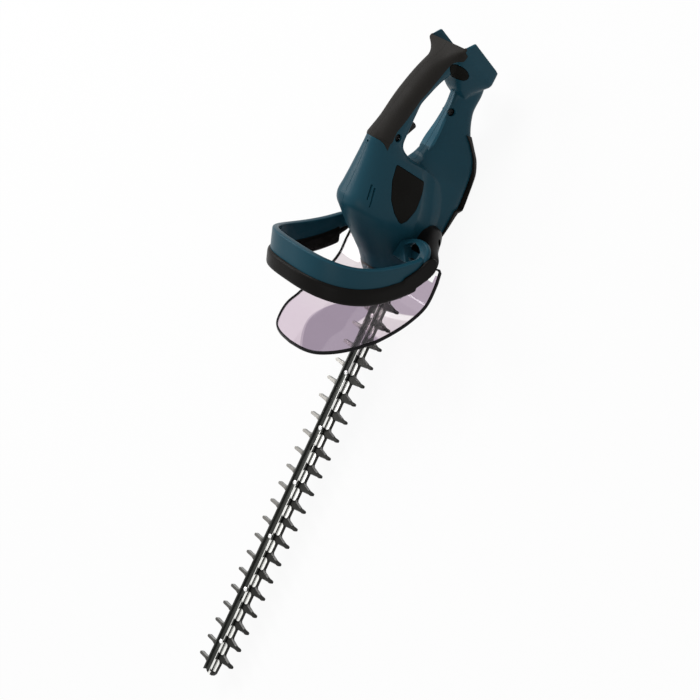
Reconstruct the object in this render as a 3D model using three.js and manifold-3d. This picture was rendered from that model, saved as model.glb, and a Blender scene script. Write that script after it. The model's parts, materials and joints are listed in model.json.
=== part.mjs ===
// Cordless hedge trimmer with a double shear blade.
// All lengths are in millimetres, with +Z up and +X towards the blade tip.
// Stations are measured from the blade plane (z = 0), the middle plane (y = 0) and the first tooth (x = 0).
// The finished group is moved so that the origin is the middle of the flat sole.
import * as THREE from "three";
import { mergeVertices } from "three/addons/utils/BufferGeometryUtils.js";
import Module from "manifold-3d";

const wasm = await Module();
wasm.setup();

// Fits and drawing accuracy
const fitGap = 0.3;
const slideGap = 0.3;
const cutOverrun = 2;
const ringPoints = 18;
const cavityPoints = 12;
const roundSides = 14;
const caseSides = 20;
const smallSides = 8;
const nutSides = 6;
const holeSegments = 4;

// Housing
const bodyLength = 290;
const bodyHeight = 166;
const bodyHalfWidth = 42;
const bodyNoseX = -50;
const soleZ = -25;
const soleFromNose = 127;
const wall = 3;
const webThickness = 2;
const noseEndShare = 1.038;
const webShares = [0.23, 0.85];
const webReach = 32;

const tailX = bodyNoseX - bodyLength;
const soleMiddleX = bodyNoseX - soleFromNose;
const bodyX = (share) => tailX + share * bodyLength;
const bodyZ = (share) => soleZ + share * bodyHeight;
const bodySpot = ([placeShare, heightShare]) => [bodyX(placeShare), bodyZ(heightShare)];

// Places in the body, as shares of its length and height
const gripScrewShares = [0.47, 0.818];
const armScrewShares = [0.29, 0.37];
const triggerPinShares = [0.46, 0.753];
const tailPadSpotShares = [0.129, 0.566];
const partingHoleShare = 0.528;
const bayLowShare = 0.3;
const railTopShare = 0.51;
const terminalLowShare = 0.355;
const terminalTopShare = 0.5;

// Blade set
const toothPitch = 26;
const toothCount = 21;
const firstToothX = -2;
const staggerShare = 0.6;
const bladeThickness = 2.4;
const spineHalf = 9.5;
const toothReach = 32;
const toothShoulderY = 25;
const toothRootWidth = 15;
const toothShoulderWidth = 6;
const toothTipWidth = 4;
const bladeTipX = 548;
const bladeNose = 3.5;
const bladeStroke = 6.5;

// Yoke at the blade's root
const yokeHalfX = 22;
const yokeHalfY = 15.4;
const yokeWindowX = 18.4;
const yokeWindowY = 12;

// Guide bar
const barHalfNear = 4;
const barHalfFar = 5.5;
const barThickness = 3.2;
const ribThickness = 2;
const ribHeight = 6.2;
const barRootX = -62;
const barTipX = 544;
const barNose = 3;
const peepSlotPlaces = [207, 433];
const peepSlotLength = 9;
const peepSlotWidth = 3;

// Blade bolts
const boltCount = 7;
const firstBoltX = 17.5;
const boltSpacing = 80;
const boltShankRadius = 2.2;
const boltHeadRadius = 3.4;
const boltHeadHeight = 1.8;
const boltNutRadius = 3.8;
const boltNutHeight = 2.4;

// Crank and gears
const crankX = -100;
const gearModuleLength = 1;
const gearTeeth = 48;
const pinionTeeth = 8;
const gearThickness = 8;
const gearLowZ = 14.5;
const gearClearance = 1;
const addendumShare = 0.8;
const dedendumShare = 1.1;
const toothRootShare = 0.27;
const toothTipShare = 0.09;
const crankShaftRadius = 4;
const eccentricRadius = 5;
const eccentricOffset = 6.5;
const upperBearingRadius = 9.5;
const upperBearingHeight = 5.5;
const lowerBearingRadius = 8;
const lowerBearingHeight = 4.2;

// Motor
const motorRadius = 19;
const motorWall = 1.5;
const motorLowZ = 50;
const motorLengthShare = 0.313;
const motorShaftRadius = 1.6;
const motorBearingRadius = 5;
const motorBearingHeight = 4;
const commutatorHeight = 7;
const endBellHeight = 6;
const magnetThickness = 2.5;
const airGap = 0.9;
const magnetGap = 4;
const armatureSlots = 8;
const armatureSlotRadius = 1.6;
const fanRadius = 20;
const fanHeight = 7;
const fanBlades = 9;
const fanHubRadius = 6;
const fanGap = 1.7;
const mountWall = 2.8;

// Gear case
const caseWall = 3;
const caseLowZ = -10.2;
const caseSplitZ = -4.4;
const caseHighZ = 33;
const yokeRoomTopZ = 6;
const pinionCaseRadius = 17;
const snoutHalf = 17;
const snoutTipX = -17.5;
const snoutTopZ = 12.5;
const lugHalf = 40.5;
const lugRearX = -50;
const lugFrontX = -34;
const lugThickness = 6;

// Front handle
const handleHalf = 79.5;
const handleTopZ = 182;
const handleShoulderZ = 82;
const handleThickness = 8;
const handleLean = THREE.MathUtils.degToRad(22);
const handleTopX = -46;
const handleSweep = 45;
const handleDepthLow = 34;
const handleDepthHigh = 50;
const frameDepthLow = 9;
const frameDepthHigh = 27;
const depthPower = 0.5;
const framePower = 0.45;
const archPower = 0.72;
const archSteps = 8;
const curlZ = 43;
const curlRadius = 15;
const curlEndY = 30;
const curlSteps = 4;

// Front switch lever
const leverLowZ = 58;
const leverWall = 2.6;
const leverGap = 0.6;
const leverLap = 5;
const curlSpreadShare = 0.333;
const leverTravel = 6;
const leverPivotX = -73;
const leverPivotZ = 30.5;
const leverPinRadius = 2;
const leverPinInset = 12.5;
const leverPinLength = 18;
const leverPinFrom = handleHalf - leverPinInset;
const leverPinTo = leverPinFrom + leverPinLength;
const leverEarReach = 23.5;
const leverEarGap = 0.5;
const leverEarFrom = handleHalf + leverEarGap;
const leverEarThickness = 6.5;

// Handle brackets and the switch in the left one
const bracketSides = 16;
const bracketPower = 0.75;
const bracketScrewX = -107;
const bracketScrewZ = 12;
const bracketScrewProud = 4;
const bracketScrewY = bodyHalfWidth + bracketScrewProud;
const bracketScrewGap = 1.5;
const switchX = -88;
const switchZ = 15;
const switchLength = 14;
const switchWidth = 7;
const switchHeight = 11;
const switchProud = 2;
const switchY = bodyHalfWidth + switchProud;

// Guard
const guardHalf = 89;
const guardThickness = 2.5;
const guardFlatZ = 19;
const guardTopZ = 119;
const guardTopX = 75;
const guardRearX = -72;
const guardRim = 3;
const guardRimThickness = 4.6;
const guardSteps = 12;
const guardClearance = 0.8;
const guardNotchX = -62;
const guardNotchHalf = 82;
const guardScrewX = -42;
const guardScrewY = 36;

// Nose cover
const noseRearX = bodyX(noseEndShare);
const noseLengthShare = 0.0759;
const noseHeightShare = 0.2241;
const noseHalfShare = 0.681;
const noseLength = noseLengthShare * bodyLength;
const noseHeight = noseHeightShare * bodyHeight;
const noseHalf = noseHalfShare * bodyHalfWidth;
const nosePower = 0.8;
const noseNarrowShare = 0.3;

// Screws
const screwHeadRadius = 3.6;
const screwShankRadius = 1.8;
const screwHeadHeight = 2.4;
const screwBossRadius = 6;
const recessRadius = 4.4;
const [gripScrewX, gripScrewZ] = bodySpot(gripScrewShares);
const gripScrewHeadY = 15.5;
const gripScrewTipY = -13;
const [armScrewX, armScrewZ] = bodySpot(armScrewShares);
const armScrewHeadY = 5;
const armScrewTipY = -8;
const partingHoleX = bodyX(partingHoleShare);
const partingHoleRadius = 1.5;
const partingHoleDepth = 3;

// Trigger
const triggerHalf = 6;
const [triggerPinX, triggerPinZ] = bodySpot(triggerPinShares);
const triggerPinRadius = 1.6;
const triggerPinHalf = 11;
const triggerBossRadius = 4;
const triggerBossHalf = 17;
const triggerReach = 24;
const triggerSlotBehind = 25;
const triggerSlotAhead = 4.3;
const triggerSlotBelow = 20;
const triggerSlotAbove = 6;
const triggerSwitchSetback = 27;
const triggerSlotRearX = triggerPinX - triggerSlotBehind;
const triggerSlotFrontX = triggerPinX + triggerSlotAhead;
const triggerSlotLowZ = triggerPinZ - triggerSlotBelow;
const triggerSlotHighZ = triggerPinZ + triggerSlotAbove;
const triggerSwitchLength = 21;
const triggerSwitchHeight = 14;
const triggerSwitchHalf = 7.5;
const triggerSwitchFrontX = triggerPinX - triggerSwitchSetback;
const triggerSwitchRearX = triggerSwitchFrontX - triggerSwitchLength;
const triggerSwitchLowZ = triggerPinZ;
const triggerSwitchHighZ = triggerSwitchLowZ + triggerSwitchHeight;
const switchRibX = (triggerSwitchFrontX + triggerSwitchRearX) / 2;
const switchRibThickness = 4;

// Battery bay and terminals in the tail
const tailChamferDrop = 12.5;
const tailChamferRun = 11;
const bayHalf = 31;
const bayDepth = 15;
const bayLowZ = bodyZ(bayLowShare);
const railInnerY = 26;
const railDepth = 9;
const railThickness = 3;
const railTopZ = bodyZ(railTopShare);
const terminalHalf = 15;
const terminalProud = 5;
const terminalDepth = 8;
const terminalLowZ = bodyZ(terminalLowShare);
const terminalTopZ = bodyZ(terminalTopShare);
const contactY = 7;
const contactThickness = 1;
const contactReach = 11;
const contactDepth = 6;
const contactMargin = 4;

// Leads
const leadRadius = 1.8;
const leadSides = 8;
const leadSteps = 12;
const leadWay = 0.6;
const batteryLeadGap = 1.2;
const leadStandoff = 1.3;
const leadRise = 3;
const motorLeadSetback = 8.1;
const motorLeadRise = 8.4;

// Skins set into the housing
const overmouldDepth = 1.8;
const insertDepth = 1.6;
const insertFromY = 12;
const [tailPadX, tailPadZ] = bodySpot(tailPadSpotShares);
const tailPadHalfX = 6.3;
const tailPadHalfZ = 15;
const tailPadTilt = 0.25;
const tailPadFromY = 8;
const ventDepthY = 12;

// Colours
const finishes = {
  shell: [0x1d4a5a, 0.55, 0],
  rubber: [0x1d1a18, 0.8, 0],
  black: [0x17171a, 0.6, 0],
  darkSteel: [0x3a3b37, 0.4, 0.8],
  steel: [0xb9bbbd, 0.3, 0.9],
  brass: [0xb98b3a, 0.35, 0.9],
  copper: [0xa8552c, 0.4, 0.8],
  clear: [0xb9a8c8, 0.1, 0],
  alloy: [0x7d7f80, 0.5, 0.7],
};

function finish(name) {
  const [color, roughness, metalness] = finishes[name];
  return new THREE.MeshStandardMaterial({ color, roughness, metalness });
}

// Solids from closed meshes, and back
function solidOf(geometry) {
  const bare = geometry.clone();
  bare.deleteAttribute("normal");
  bare.deleteAttribute("uv");
  const merged = mergeVertices(bare);
  const triVerts = Uint32Array.from(merged.index.array);
  const vertProperties = Float32Array.from(merged.attributes.position.array);
  return new wasm.Manifold(new wasm.Mesh({ numProp: 3, vertProperties, triVerts }));
}

function geometryOf(solid) {
  const mesh = solid.getMesh();
  const geometry = new THREE.BufferGeometry();
  geometry.setAttribute("position", new THREE.BufferAttribute(Float32Array.from(mesh.vertProperties), 3));
  geometry.setIndex(new THREE.BufferAttribute(Uint32Array.from(mesh.triVerts), 1));
  geometry.computeVertexNormals();
  return geometry;
}

function joined(...solids) {
  return solids.reduce((sum, next) => sum.add(next));
}

function cut(solid, ...tools) {
  return tools.reduce((rest, tool) => rest.subtract(tool), solid);
}

function slab(xLow, xHigh, yLow, yHigh, zLow, zHigh) {
  const geometry = new THREE.BoxGeometry(xHigh - xLow, yHigh - yLow, zHigh - zLow);
  geometry.translate((xLow + xHigh) / 2, (yLow + yHigh) / 2, (zLow + zHigh) / 2);
  return solidOf(geometry);
}

const turns = {
  x: new THREE.Matrix4().makeRotationZ(-Math.PI / 2),
  y: new THREE.Matrix4(),
  z: new THREE.Matrix4().makeRotationX(Math.PI / 2),
};

// A round bar along an axis, from low to high, centred on the other two coordinates
function rod(axis, radius, low, high, centre, sides = roundSides) {
  const geometry = new THREE.CylinderGeometry(radius, radius, high - low, sides);
  geometry.applyMatrix4(turns[axis]);
  const middle = new THREE.Vector3(...centre);
  middle[axis] = (low + high) / 2;
  geometry.translate(middle.x, middle.y, middle.z);
  return solidOf(geometry);
}

function ring(axis, outer, inner, low, high, centre) {
  const hole = rod(axis, inner, low - cutOverrun, high + cutOverrun, centre);
  return cut(rod(axis, outer, low, high, centre), hole);
}

// An outline that runs anticlockwise, which is the way that extrusions with holes need
function shapeOf(points) {
  const outline = points.map(([u, v]) => new THREE.Vector2(u, v));
  return new THREE.Shape(THREE.ShapeUtils.isClockWise(outline) ? outline.reverse() : outline);
}

function holeOf(x, y, radius) {
  const hole = new THREE.Path();
  hole.absarc(x, y, radius, 0, 2 * Math.PI, true);
  return hole;
}

// A plate whose outline is drawn in X and Y, between two heights
function plateZ(shape, zLow, zHigh) {
  const options = { depth: zHigh - zLow, bevelEnabled: false, curveSegments: holeSegments };
  const geometry = new THREE.ExtrudeGeometry(shape, options);
  geometry.translate(0, 0, zLow);
  return solidOf(geometry);
}

// A plate whose outline is drawn in X and Z, between two places along Y
function plateY(shape, yLow, yHigh) {
  const options = { depth: yHigh - yLow, bevelEnabled: false, curveSegments: holeSegments };
  const geometry = new THREE.ExtrudeGeometry(shape, options);
  geometry.rotateX(Math.PI / 2);
  geometry.translate(0, yHigh, 0);
  return solidOf(geometry);
}

function signedVolume(geometry) {
  const place = geometry.attributes.position;
  const index = geometry.index;
  const corner = [0, 1, 2].map(() => new THREE.Vector3());
  let volume = 0;
  for (let i = 0; i < index.count; i += 3) {
    corner.forEach((point, k) => point.fromBufferAttribute(place, index.getX(i + k)));
    volume += corner[0].dot(corner[1].cross(corner[2]));
  }
  return volume;
}

// A closed skin through a row of rings with the same number of points
function loft(rings) {
  const count = rings[0].length;
  const positions = [];
  const index = [];
  rings.forEach((row) => row.forEach((point) => positions.push(point.x, point.y, point.z)));
  for (let row = 0; row < rings.length - 1; row += 1) {
    for (let column = 0; column < count; column += 1) {
      const a = row * count + column;
      const b = row * count + ((column + 1) % count);
      index.push(a, b, a + count, b, b + count, a + count);
    }
  }
  [0, rings.length - 1].forEach((row) => {
    const middle = rings[row].reduce((sum, point) => sum.add(point), new THREE.Vector3()).divideScalar(count);
    const hub = positions.length / 3;
    positions.push(middle.x, middle.y, middle.z);
    for (let column = 0; column < count; column += 1) {
      const a = row * count + column;
      const b = row * count + ((column + 1) % count);
      index.push(...(row === 0 ? [b, a, hub] : [a, b, hub]));
    }
  });
  const geometry = new THREE.BufferGeometry();
  geometry.setAttribute("position", new THREE.Float32BufferAttribute(positions, 3));
  geometry.setIndex(index);
  if (signedVolume(geometry) < 0) geometry.index.array.reverse();
  return solidOf(geometry);
}

function powered(value, power) {
  return Math.sign(value) * Math.abs(value) ** power;
}

// A solid moved by a matrix, with its faces turned back outwards after a mirroring
function moved(solid, matrix) {
  const geometry = geometryOf(solid).applyMatrix4(matrix);
  if (matrix.determinant() < 0) geometry.index.array.reverse();
  return solidOf(geometry);
}

const mirrored = (solid) => moved(solid, new THREE.Matrix4().makeScale(1, -1, 1));
const shifted = (solid, x, y, z) => moved(solid, new THREE.Matrix4().makeTranslation(x, y, z));
const turned = (solid, angle) => moved(solid, new THREE.Matrix4().makeRotationZ(angle));

// An outline with every edge moved inwards by the same step
function drawnIn(points, step) {
  const count = points.length;
  const area = points.reduce((sum, [x, y], k) => {
    const [nextX, nextY] = points[(k + 1) % count];
    return sum + x * nextY - nextX * y;
  }, 0);
  const inward = Math.sign(area);
  const edge = (from, to) => new THREE.Vector2(to[0] - from[0], to[1] - from[1]).normalize();
  return points.map((point, k) => {
    const before = edge(points[(k + count - 1) % count], point);
    const after = edge(point, points[(k + 1) % count]);
    const scale = (inward * step) / (1 + before.dot(after));
    return [point[0] - (before.y + after.y) * scale, point[1] + (before.x + after.x) * scale];
  });
}

// Stations of the housing's four lofts: place, lowest and highest point, half width,
// roundness and narrowing at the top.
// Places are shares of the body's length from its tail, heights shares of its height over the sole.
const fuselageShares = [
  [0.455, 0.71, 0.95, 0.46, 0.86, 0.2],
  [0.497, 0.69, 0.985, 0.52, 0.86, 0.24],
  [0.517, 0.64, 0.985, 0.56, 0.86, 0.24],
  [0.534, 0.55, 0.983, 0.62, 0.84, 0.24],
  [0.545, 0.38, 0.98, 0.72, 0.8, 0.24],
  [0.58, 0.15, 0.977, 0.87, 0.78, 0.24],
  [0.645, 0.08, 0.974, 0.97, 0.74, 0.24],
  [0.71, 0.06, 0.975, 1, 0.7, 0.22],
  [0.759, 0.07, 0.979, 1, 0.66, 0.2],
  [0.793, 0.09, 0.962, 0.98, 0.68, 0.18],
  [0.831, 0.11, 0.9, 0.93, 0.76, 0.2],
  [0.893, 0.13, 0.766, 0.84, 0.8, 0.24],
  [0.948, 0.14, 0.632, 0.76, 0.8, 0.24],
  [0.983, 0.145, 0.55, 0.72, 0.8, 0.24],
  [noseEndShare, 0.15, 0.45, 0.68, 0.8, 0.24],
];
const bellyShares = [
  [0.125, 0.26, 0.5, 0.47, 0.8, 0],
  [0.152, 0.2, 0.44, 0.37, 0.8, 0.1],
  [0.193, 0.172, 0.412, 0.31, 0.8, 0.2],
  [0.248, 0.168, 0.402, 0.32, 0.8, 0.3],
  [0.29, 0.15, 0.404, 0.37, 0.76, 0.45],
  [0.352, 0.11, 0.412, 0.5, 0.7, 0.6],
  [0.393, 0.073, 0.42, 0.65, 0.62, 0.66],
  [0.438, 0.04, 0.432, 0.8, 0.54, 0.66],
  [0.5, 0.018, 0.47, 0.86, 0.46, 0.62],
  [0.53, 0.018, 0.49, 0.88, 0.45, 0.5],
  [0.569, 0.018, 0.5, 0.893, 0.44, 0.3],
  [0.655, 0.018, 0.46, 0.917, 0.45, 0.2],
  [0.741, 0.04, 0.43, 0.905, 0.5, 0.2],
  [0.828, 0.06, 0.41, 0.857, 0.56, 0.2],
  [0.897, 0.075, 0.39, 0.786, 0.64, 0.2],
  [0.966, 0.09, 0.36, 0.714, 0.7, 0.2],
];
const gripShares = [
  [0.031, 0.6, 0.672, 0.81, 0.35, 0],
  [0.045, 0.55, 0.68, 0.79, 0.4, 0],
  [0.06, 0.52, 0.686, 0.7, 0.5, 0],
  [0.09, 0.51, 0.708, 0.56, 0.7, 0],
  [0.114, 0.524, 0.738, 0.47, 0.85, 0],
  [0.145, 0.545, 0.778, 0.44, 0.92, 0],
  [0.193, 0.605, 0.816, 0.43, 0.92, 0],
  [0.2586, 0.665, 0.857, 0.43, 0.92, 0],
  [0.317, 0.703, 0.888, 0.43, 0.92, 0],
  [0.355, 0.7, 0.907, 0.43, 0.92, 0],
  [0.414, 0.7, 0.93, 0.45, 0.92, 0],
  [0.46, 0.7, 0.957, 0.47, 0.9, 0],
  [0.497, 0.7, 0.978, 0.5, 0.88, 0],
];
const tailShares = [
  [0.031, 0.253, 0.672, 0.81, 0.16, 0],
  [0.09, 0.253, 0.672, 0.81, 0.2, 0],
  [0.124, 0.271, 0.66, 0.7, 0.35, 0],
  [0.15, 0.29, 0.62, 0.56, 0.45, 0],
  [0.178, 0.307, 0.53, 0.4, 0.6, 0],
];
const tailLean = 0.36;
const tailMiddleShare = 0.43;

const bodyPoints = (shares) => shares.map(([u, w]) => [bodyX(u), bodyZ(w)]);

// A ring across the body at one station, drawn in by an inset and narrowed towards its top
function bodyRing([placeShare, lowShare, highShare, halfShare, power, narrowShare], inset, lean, count) {
  const low = bodyZ(lowShare) + inset;
  const high = bodyZ(highShare) - inset;
  const half = halfShare * bodyHalfWidth - inset;
  const middle = (low + high) / 2;
  const leanFrom = bodyZ(tailMiddleShare);
  return Array.from({ length: count }, (_, k) => {
    const angle = (2 * Math.PI * k) / count;
    const rise = powered(Math.sin(angle), power);
    const narrowing = 1 - (narrowShare * (rise + 1)) / 2;
    const z = middle + ((high - low) / 2) * rise;
    const y = half * powered(Math.cos(angle), power) * narrowing;
    return new THREE.Vector3(bodyX(placeShare) - lean * (z - leanFrom), y, z);
  });
}

// The ends of an inset loft step inwards by the inset too
function bodyLoft(table, inset, lean = 0, count = ringPoints) {
  const rings = table.map((row) => bodyRing(row, inset, lean, count));
  rings[0].forEach((point) => {
    point.x += inset;
  });
  rings[rings.length - 1].forEach((point) => {
    point.x -= inset;
  });
  return loft(rings);
}

const fuselage = (inset) => bodyLoft(fuselageShares, inset);
const belly = (inset) => bodyLoft(bellyShares, inset);
const grip = (inset) => bodyLoft(gripShares, inset);
const tailFaceX = (z) => bodyX(tailShares[0][0]) - tailLean * (z - bodyZ(tailMiddleShare));

// The tail's rear edge is cut off at a slant between its face and its top
function tail(inset) {
  const topZ = bodyZ(tailShares[0][2]);
  const cornerZ = topZ - tailChamferDrop;
  const corner = tailFaceX(cornerZ) + inset;
  const slant = plateY(shapeOf([
    [corner, cornerZ - inset],
    [corner + tailChamferRun, topZ - inset],
    [corner + tailChamferRun, bodyHeight],
    [corner - tailChamferRun * 2, bodyHeight],
    [corner - tailChamferRun * 2, cornerZ - inset],
  ]), -bodyHalfWidth * 2, bodyHalfWidth * 2);
  return cut(bodyLoft(tailShares, inset, tailLean), slant);
}

const housingOuter = (inset) => joined(fuselage(inset), belly(inset), grip(inset), tail(inset));
const solidHousing = housingOuter(0);
const housingEnvelope = housingOuter(-fitGap);

// Grip overmould: drawn from the side, with its lower edge running to a point beside the switch
const overmouldShares = [
  [-0.06, 1.1],
  [-0.06, 0.66],
  [0.045, 0.66],
  [0.055, 0.625],
  [0.08, 0.615],
  [0.101, 0.648],
  [0.13, 0.668],
  [0.179, 0.696],
  [0.24, 0.734],
  [0.291, 0.774],
  [0.339, 0.796],
  [0.387, 0.82],
  [0.417, 0.841],
  [0.447, 0.863],
  [0.495, 0.871],
  [0.53, 0.875],
  [0.512, 0.914],
  [0.504, 0.946],
  [0.5, 1.1],
];

// Side insert: a shield with a straight rear edge and bowed front and lower edges
const insertShares = [
  [0.569, 0.775],
  [0.634, 0.77],
  [0.708, 0.721],
  [0.755, 0.65],
  [0.782, 0.58],
  [0.788, 0.55],
  [0.769, 0.512],
  [0.715, 0.474],
  [0.64, 0.478],
  [0.595, 0.486],
];

// Vent slots in the upper flank
const ventShares = [
  [
    [0.681, 0.905],
    [0.746, 0.899],
    [0.746, 0.889],
    [0.681, 0.891],
  ],
  [
    [0.688, 0.88],
    [0.771, 0.866],
    [0.771, 0.856],
    [0.688, 0.866],
  ],
];

// Base pad: the part below a line that climbs at the rear and steps up at the front
const padShares = [
  [0.352, 0.2],
  [0.377, 0.155],
  [0.41, 0.118],
  [0.45, 0.08],
  [0.51, 0.042],
  [0.6, 0.024],
  [0.645, 0.018],
  [0.664, 0.093],
  [0.779, 0.09],
  [0.81, 0.075],
  [0.81, -0.1],
  [0.3, -0.1],
  [0.3, 0.2],
];
const padRingShares = [
  [0.352, 0.095, 0.4, 0.47, 0.7, 0],
  [0.393, 0.055, 0.42, 0.62, 0.55, 0],
  [0.438, 0.015, 0.44, 0.76, 0.42, 0],
  [0.5, -0.008, 0.45, 0.85, 0.32, 0],
  [0.569, -0.008, 0.464, 0.9, 0.28, 0],
  [0.65, -0.008, 0.452, 0.94, 0.26, 0],
  [0.668, 0.004, 0.45, 0.94, 0.4, 0],
  [0.741, 0.024, 0.422, 0.93, 0.46, 0],
  [0.828, 0.046, 0.404, 0.885, 0.54, 0],
];

// Battery bay: a channel down the tail's slanted rear face, open at the top, with a rail along each side
function bayBlock(yLow, yHigh, from, to, zLow, zHigh) {
  const corner = (z, step) => [tailFaceX(z) + step, z];
  const corners = [corner(zLow, from), corner(zLow, to), corner(zHigh, to), corner(zHigh, from)];
  return plateY(shapeOf(corners), yLow, yHigh);
}

function batteryBay() {
  const channel = bayBlock(-bayHalf, bayHalf, -bayDepth, bayDepth, bayLowZ, bodyHeight);
  const rails = [[-bayHalf, -railInnerY], [railInnerY, bayHalf]].map(([low, high]) => {
    return bayBlock(low, high, railDepth, railDepth + railThickness, bayLowZ, railTopZ);
  });
  return cut(channel, ...rails);
}

function terminalBody(spread) {
  const rear = bayDepth - terminalProud - spread;
  const front = bayDepth + terminalDepth + spread;
  const half = terminalHalf + spread;
  return bayBlock(-half, half, rear, front, terminalLowZ - spread, terminalTopZ + spread);
}

// Each contact blade stands in a slit of the block
function terminalBlade(side, spread) {
  const half = contactThickness / 2 + spread;
  const blade = bayBlock(
    -half,
    half,
    bayDepth - contactReach - spread,
    bayDepth + contactDepth + spread,
    terminalLowZ + contactMargin - spread,
    terminalTopZ - contactMargin + spread,
  );
  return shifted(blade, 0, side * contactY, 0);
}

const terminalBlock = () => cut(terminalBody(0), terminalBlade(1, fitGap), terminalBlade(-1, fitGap));

// Leads between battery, switch and motor
const batteryLeadShares = [
  [0.115, 0.464],
  [0.134, 0.57],
  [0.162, 0.655],
  [0.2, 0.71],
  [0.255, 0.758],
];
const motorLeadShares = [
  [0.414, 0.862],
  [0.469, 0.889],
  [0.552, 0.886],
  [0.621, 0.855],
  [0.662, 0.825],
];
const switchMiddleZ = (triggerSwitchLowZ + triggerSwitchHighZ) / 2;
const batteryLeadEnd = [triggerSwitchRearX - batteryLeadGap, switchMiddleZ];
const batteryLeadPlaces = () => [...bodyPoints(batteryLeadShares), batteryLeadEnd];
const motorLeadStart = [triggerSwitchFrontX + leadStandoff, switchMiddleZ + leadRise];
function motorLeadPlaces() {
  const end = [motorX - motorLeadSetback, motorHighZ + motorLeadRise];
  return [motorLeadStart, ...bodyPoints(motorLeadShares), end];
}

function lead(places, radius) {
  const points = places.map(([x, z]) => new THREE.Vector3(x, 0, z));
  const section = new THREE.Shape();
  section.absarc(0, 0, radius, 0, 2 * Math.PI);
  const extrudePath = new THREE.CatmullRomCurve3(points);
  const options = { steps: leadSteps, extrudePath, curveSegments: leadSides / 2 };
  return solidOf(new THREE.ExtrudeGeometry(section, options));
}

// Screws across the body, head towards +Y
function crossScrew(x, z, headY, tipY, spread) {
  const headTop = spread > 0 ? bodyHalfWidth * 2 : headY + screwHeadHeight;
  const headRadius = spread > 0 ? recessRadius : screwHeadRadius;
  return joined(
    rod("y", headRadius, headY - spread, headTop, [x, 0, z], roundSides),
    rod("y", screwShankRadius + spread, tipY - spread, headY + screwHeadHeight / 2, [x, 0, z], smallSides),
  );
}

const gripScrew = (spread) => crossScrew(gripScrewX, gripScrewZ, gripScrewHeadY, gripScrewTipY, spread);
const armScrew = (spread) => crossScrew(armScrewX, armScrewZ, armScrewHeadY, armScrewTipY, spread);

// Trigger and its pin
const triggerShares = [
  [0.158, 0.17],
  [0.158, -0.33],
  [-0.29, -0.58],
  [-0.71, -0.85],
  [-0.85, -0.67],
  [-0.917, -0.33],
  [-0.917, 0.17],
];
const triggerPinHole = () => rod("y", triggerPinRadius + fitGap, -triggerBossHalf, triggerBossHalf, [
  triggerPinX,
  0,
  triggerPinZ,
], smallSides);

function rearTrigger() {
  const place = ([u, w]) => [triggerPinX + u * triggerReach, triggerPinZ + w * triggerReach];
  const points = triggerShares.map(place);
  return cut(plateY(shapeOf(points), -triggerHalf, triggerHalf), triggerPinHole());
}

// Parts of the skin: slices of the housing set into pockets of the same outline
function skinBlock(shares, fromY, inset) {
  const shape = shapeOf(drawnIn(bodyPoints(shares), inset));
  return plateY(shape, fromY + inset, bodyHalfWidth * 2);
}

const overmouldRegion = (inset) => skinBlock(overmouldShares, 0, inset);

function tailPadRegion(inset) {
  const shape = new THREE.Shape();
  shape.absellipse(0, 0, tailPadHalfX - inset, tailPadHalfZ - inset, 0, 2 * Math.PI, false, tailPadTilt);
  return shifted(plateY(shape, tailPadFromY, bodyHalfWidth * 2), tailPadX, 0, tailPadZ);
}

const insertRegion = (inset) => skinBlock(insertShares, insertFromY, inset);
const pocketOf = (region, depth) => cut(region(0), housingOuter(depth));
const skinOf = (region, depth) => cut(solidHousing.intersect(region(fitGap)), housingOuter(depth - fitGap));

function partingHalf() {
  return slab(tailX - bodyLength, 0, fitGap / 2, bodyHalfWidth * 2, soleZ * 2, bodyHeight * 2);
}

// Motor
const motorX = crankX - (gearModuleLength * (gearTeeth + pinionTeeth)) / 2;
const motorHighZ = motorLowZ + motorLengthShare * bodyHeight;
const shaftBoreRadius = motorShaftRadius + fitGap;
const seatTopZ = motorLowZ + motorBearingHeight + motorWall;
const bellLowZ = motorHighZ + fitGap;
const bellHighZ = bellLowZ + endBellHeight;
const magnetLowZ = seatTopZ + fitGap * 2;
const magnetHighZ = motorHighZ - commutatorHeight - motorWall;

function motorCan() {
  const body = rod("z", motorRadius, motorLowZ, motorHighZ, [motorX, 0, 0], caseSides);
  const inner = motorRadius - motorWall;
  const room = rod("z", inner, motorLowZ + motorWall, motorHighZ + cutOverrun, [motorX, 0, 0], caseSides);
  const collar = rod("z", motorBearingRadius + motorWall, motorLowZ, seatTopZ, [motorX, 0, 0]);
  const boreRadius = motorBearingRadius + fitGap;
  const bore = rod("z", boreRadius, motorLowZ - cutOverrun, seatTopZ + cutOverrun, [motorX, 0, 0]);
  return cut(joined(cut(body, room), collar), bore);
}

function motorEndBell() {
  const body = joined(
    rod("z", motorRadius, bellLowZ, bellHighZ, [motorX, 0, 0], caseSides),
    rod("z", motorBearingRadius + motorWall, bellHighZ - motorWall, bellHighZ + motorWall, [motorX, 0, 0]),
  );
  return cut(body, rod("z", motorBearingRadius + fitGap, bellLowZ - cutOverrun, bellHighZ, [motorX, 0, 0]));
}

function motorBearing(lowZ) {
  return ring("z", motorBearingRadius, shaftBoreRadius, lowZ, lowZ + motorBearingHeight, [motorX, 0, 0]);
}

function magnet() {
  const outer = motorRadius - motorWall - fitGap;
  const inner = outer - magnetThickness;
  const full = cut(
    rod("z", outer, magnetLowZ, magnetHighZ, [motorX, 0, 0], caseSides),
    rod("z", inner, magnetLowZ - cutOverrun, magnetHighZ + cutOverrun, [motorX, 0, 0], caseSides),
  );
  return full.intersect(slab(
    motorX - motorRadius,
    motorX + motorRadius,
    magnetGap,
    motorRadius,
    magnetLowZ - cutOverrun,
    magnetHighZ + cutOverrun,
  ));
}

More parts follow.
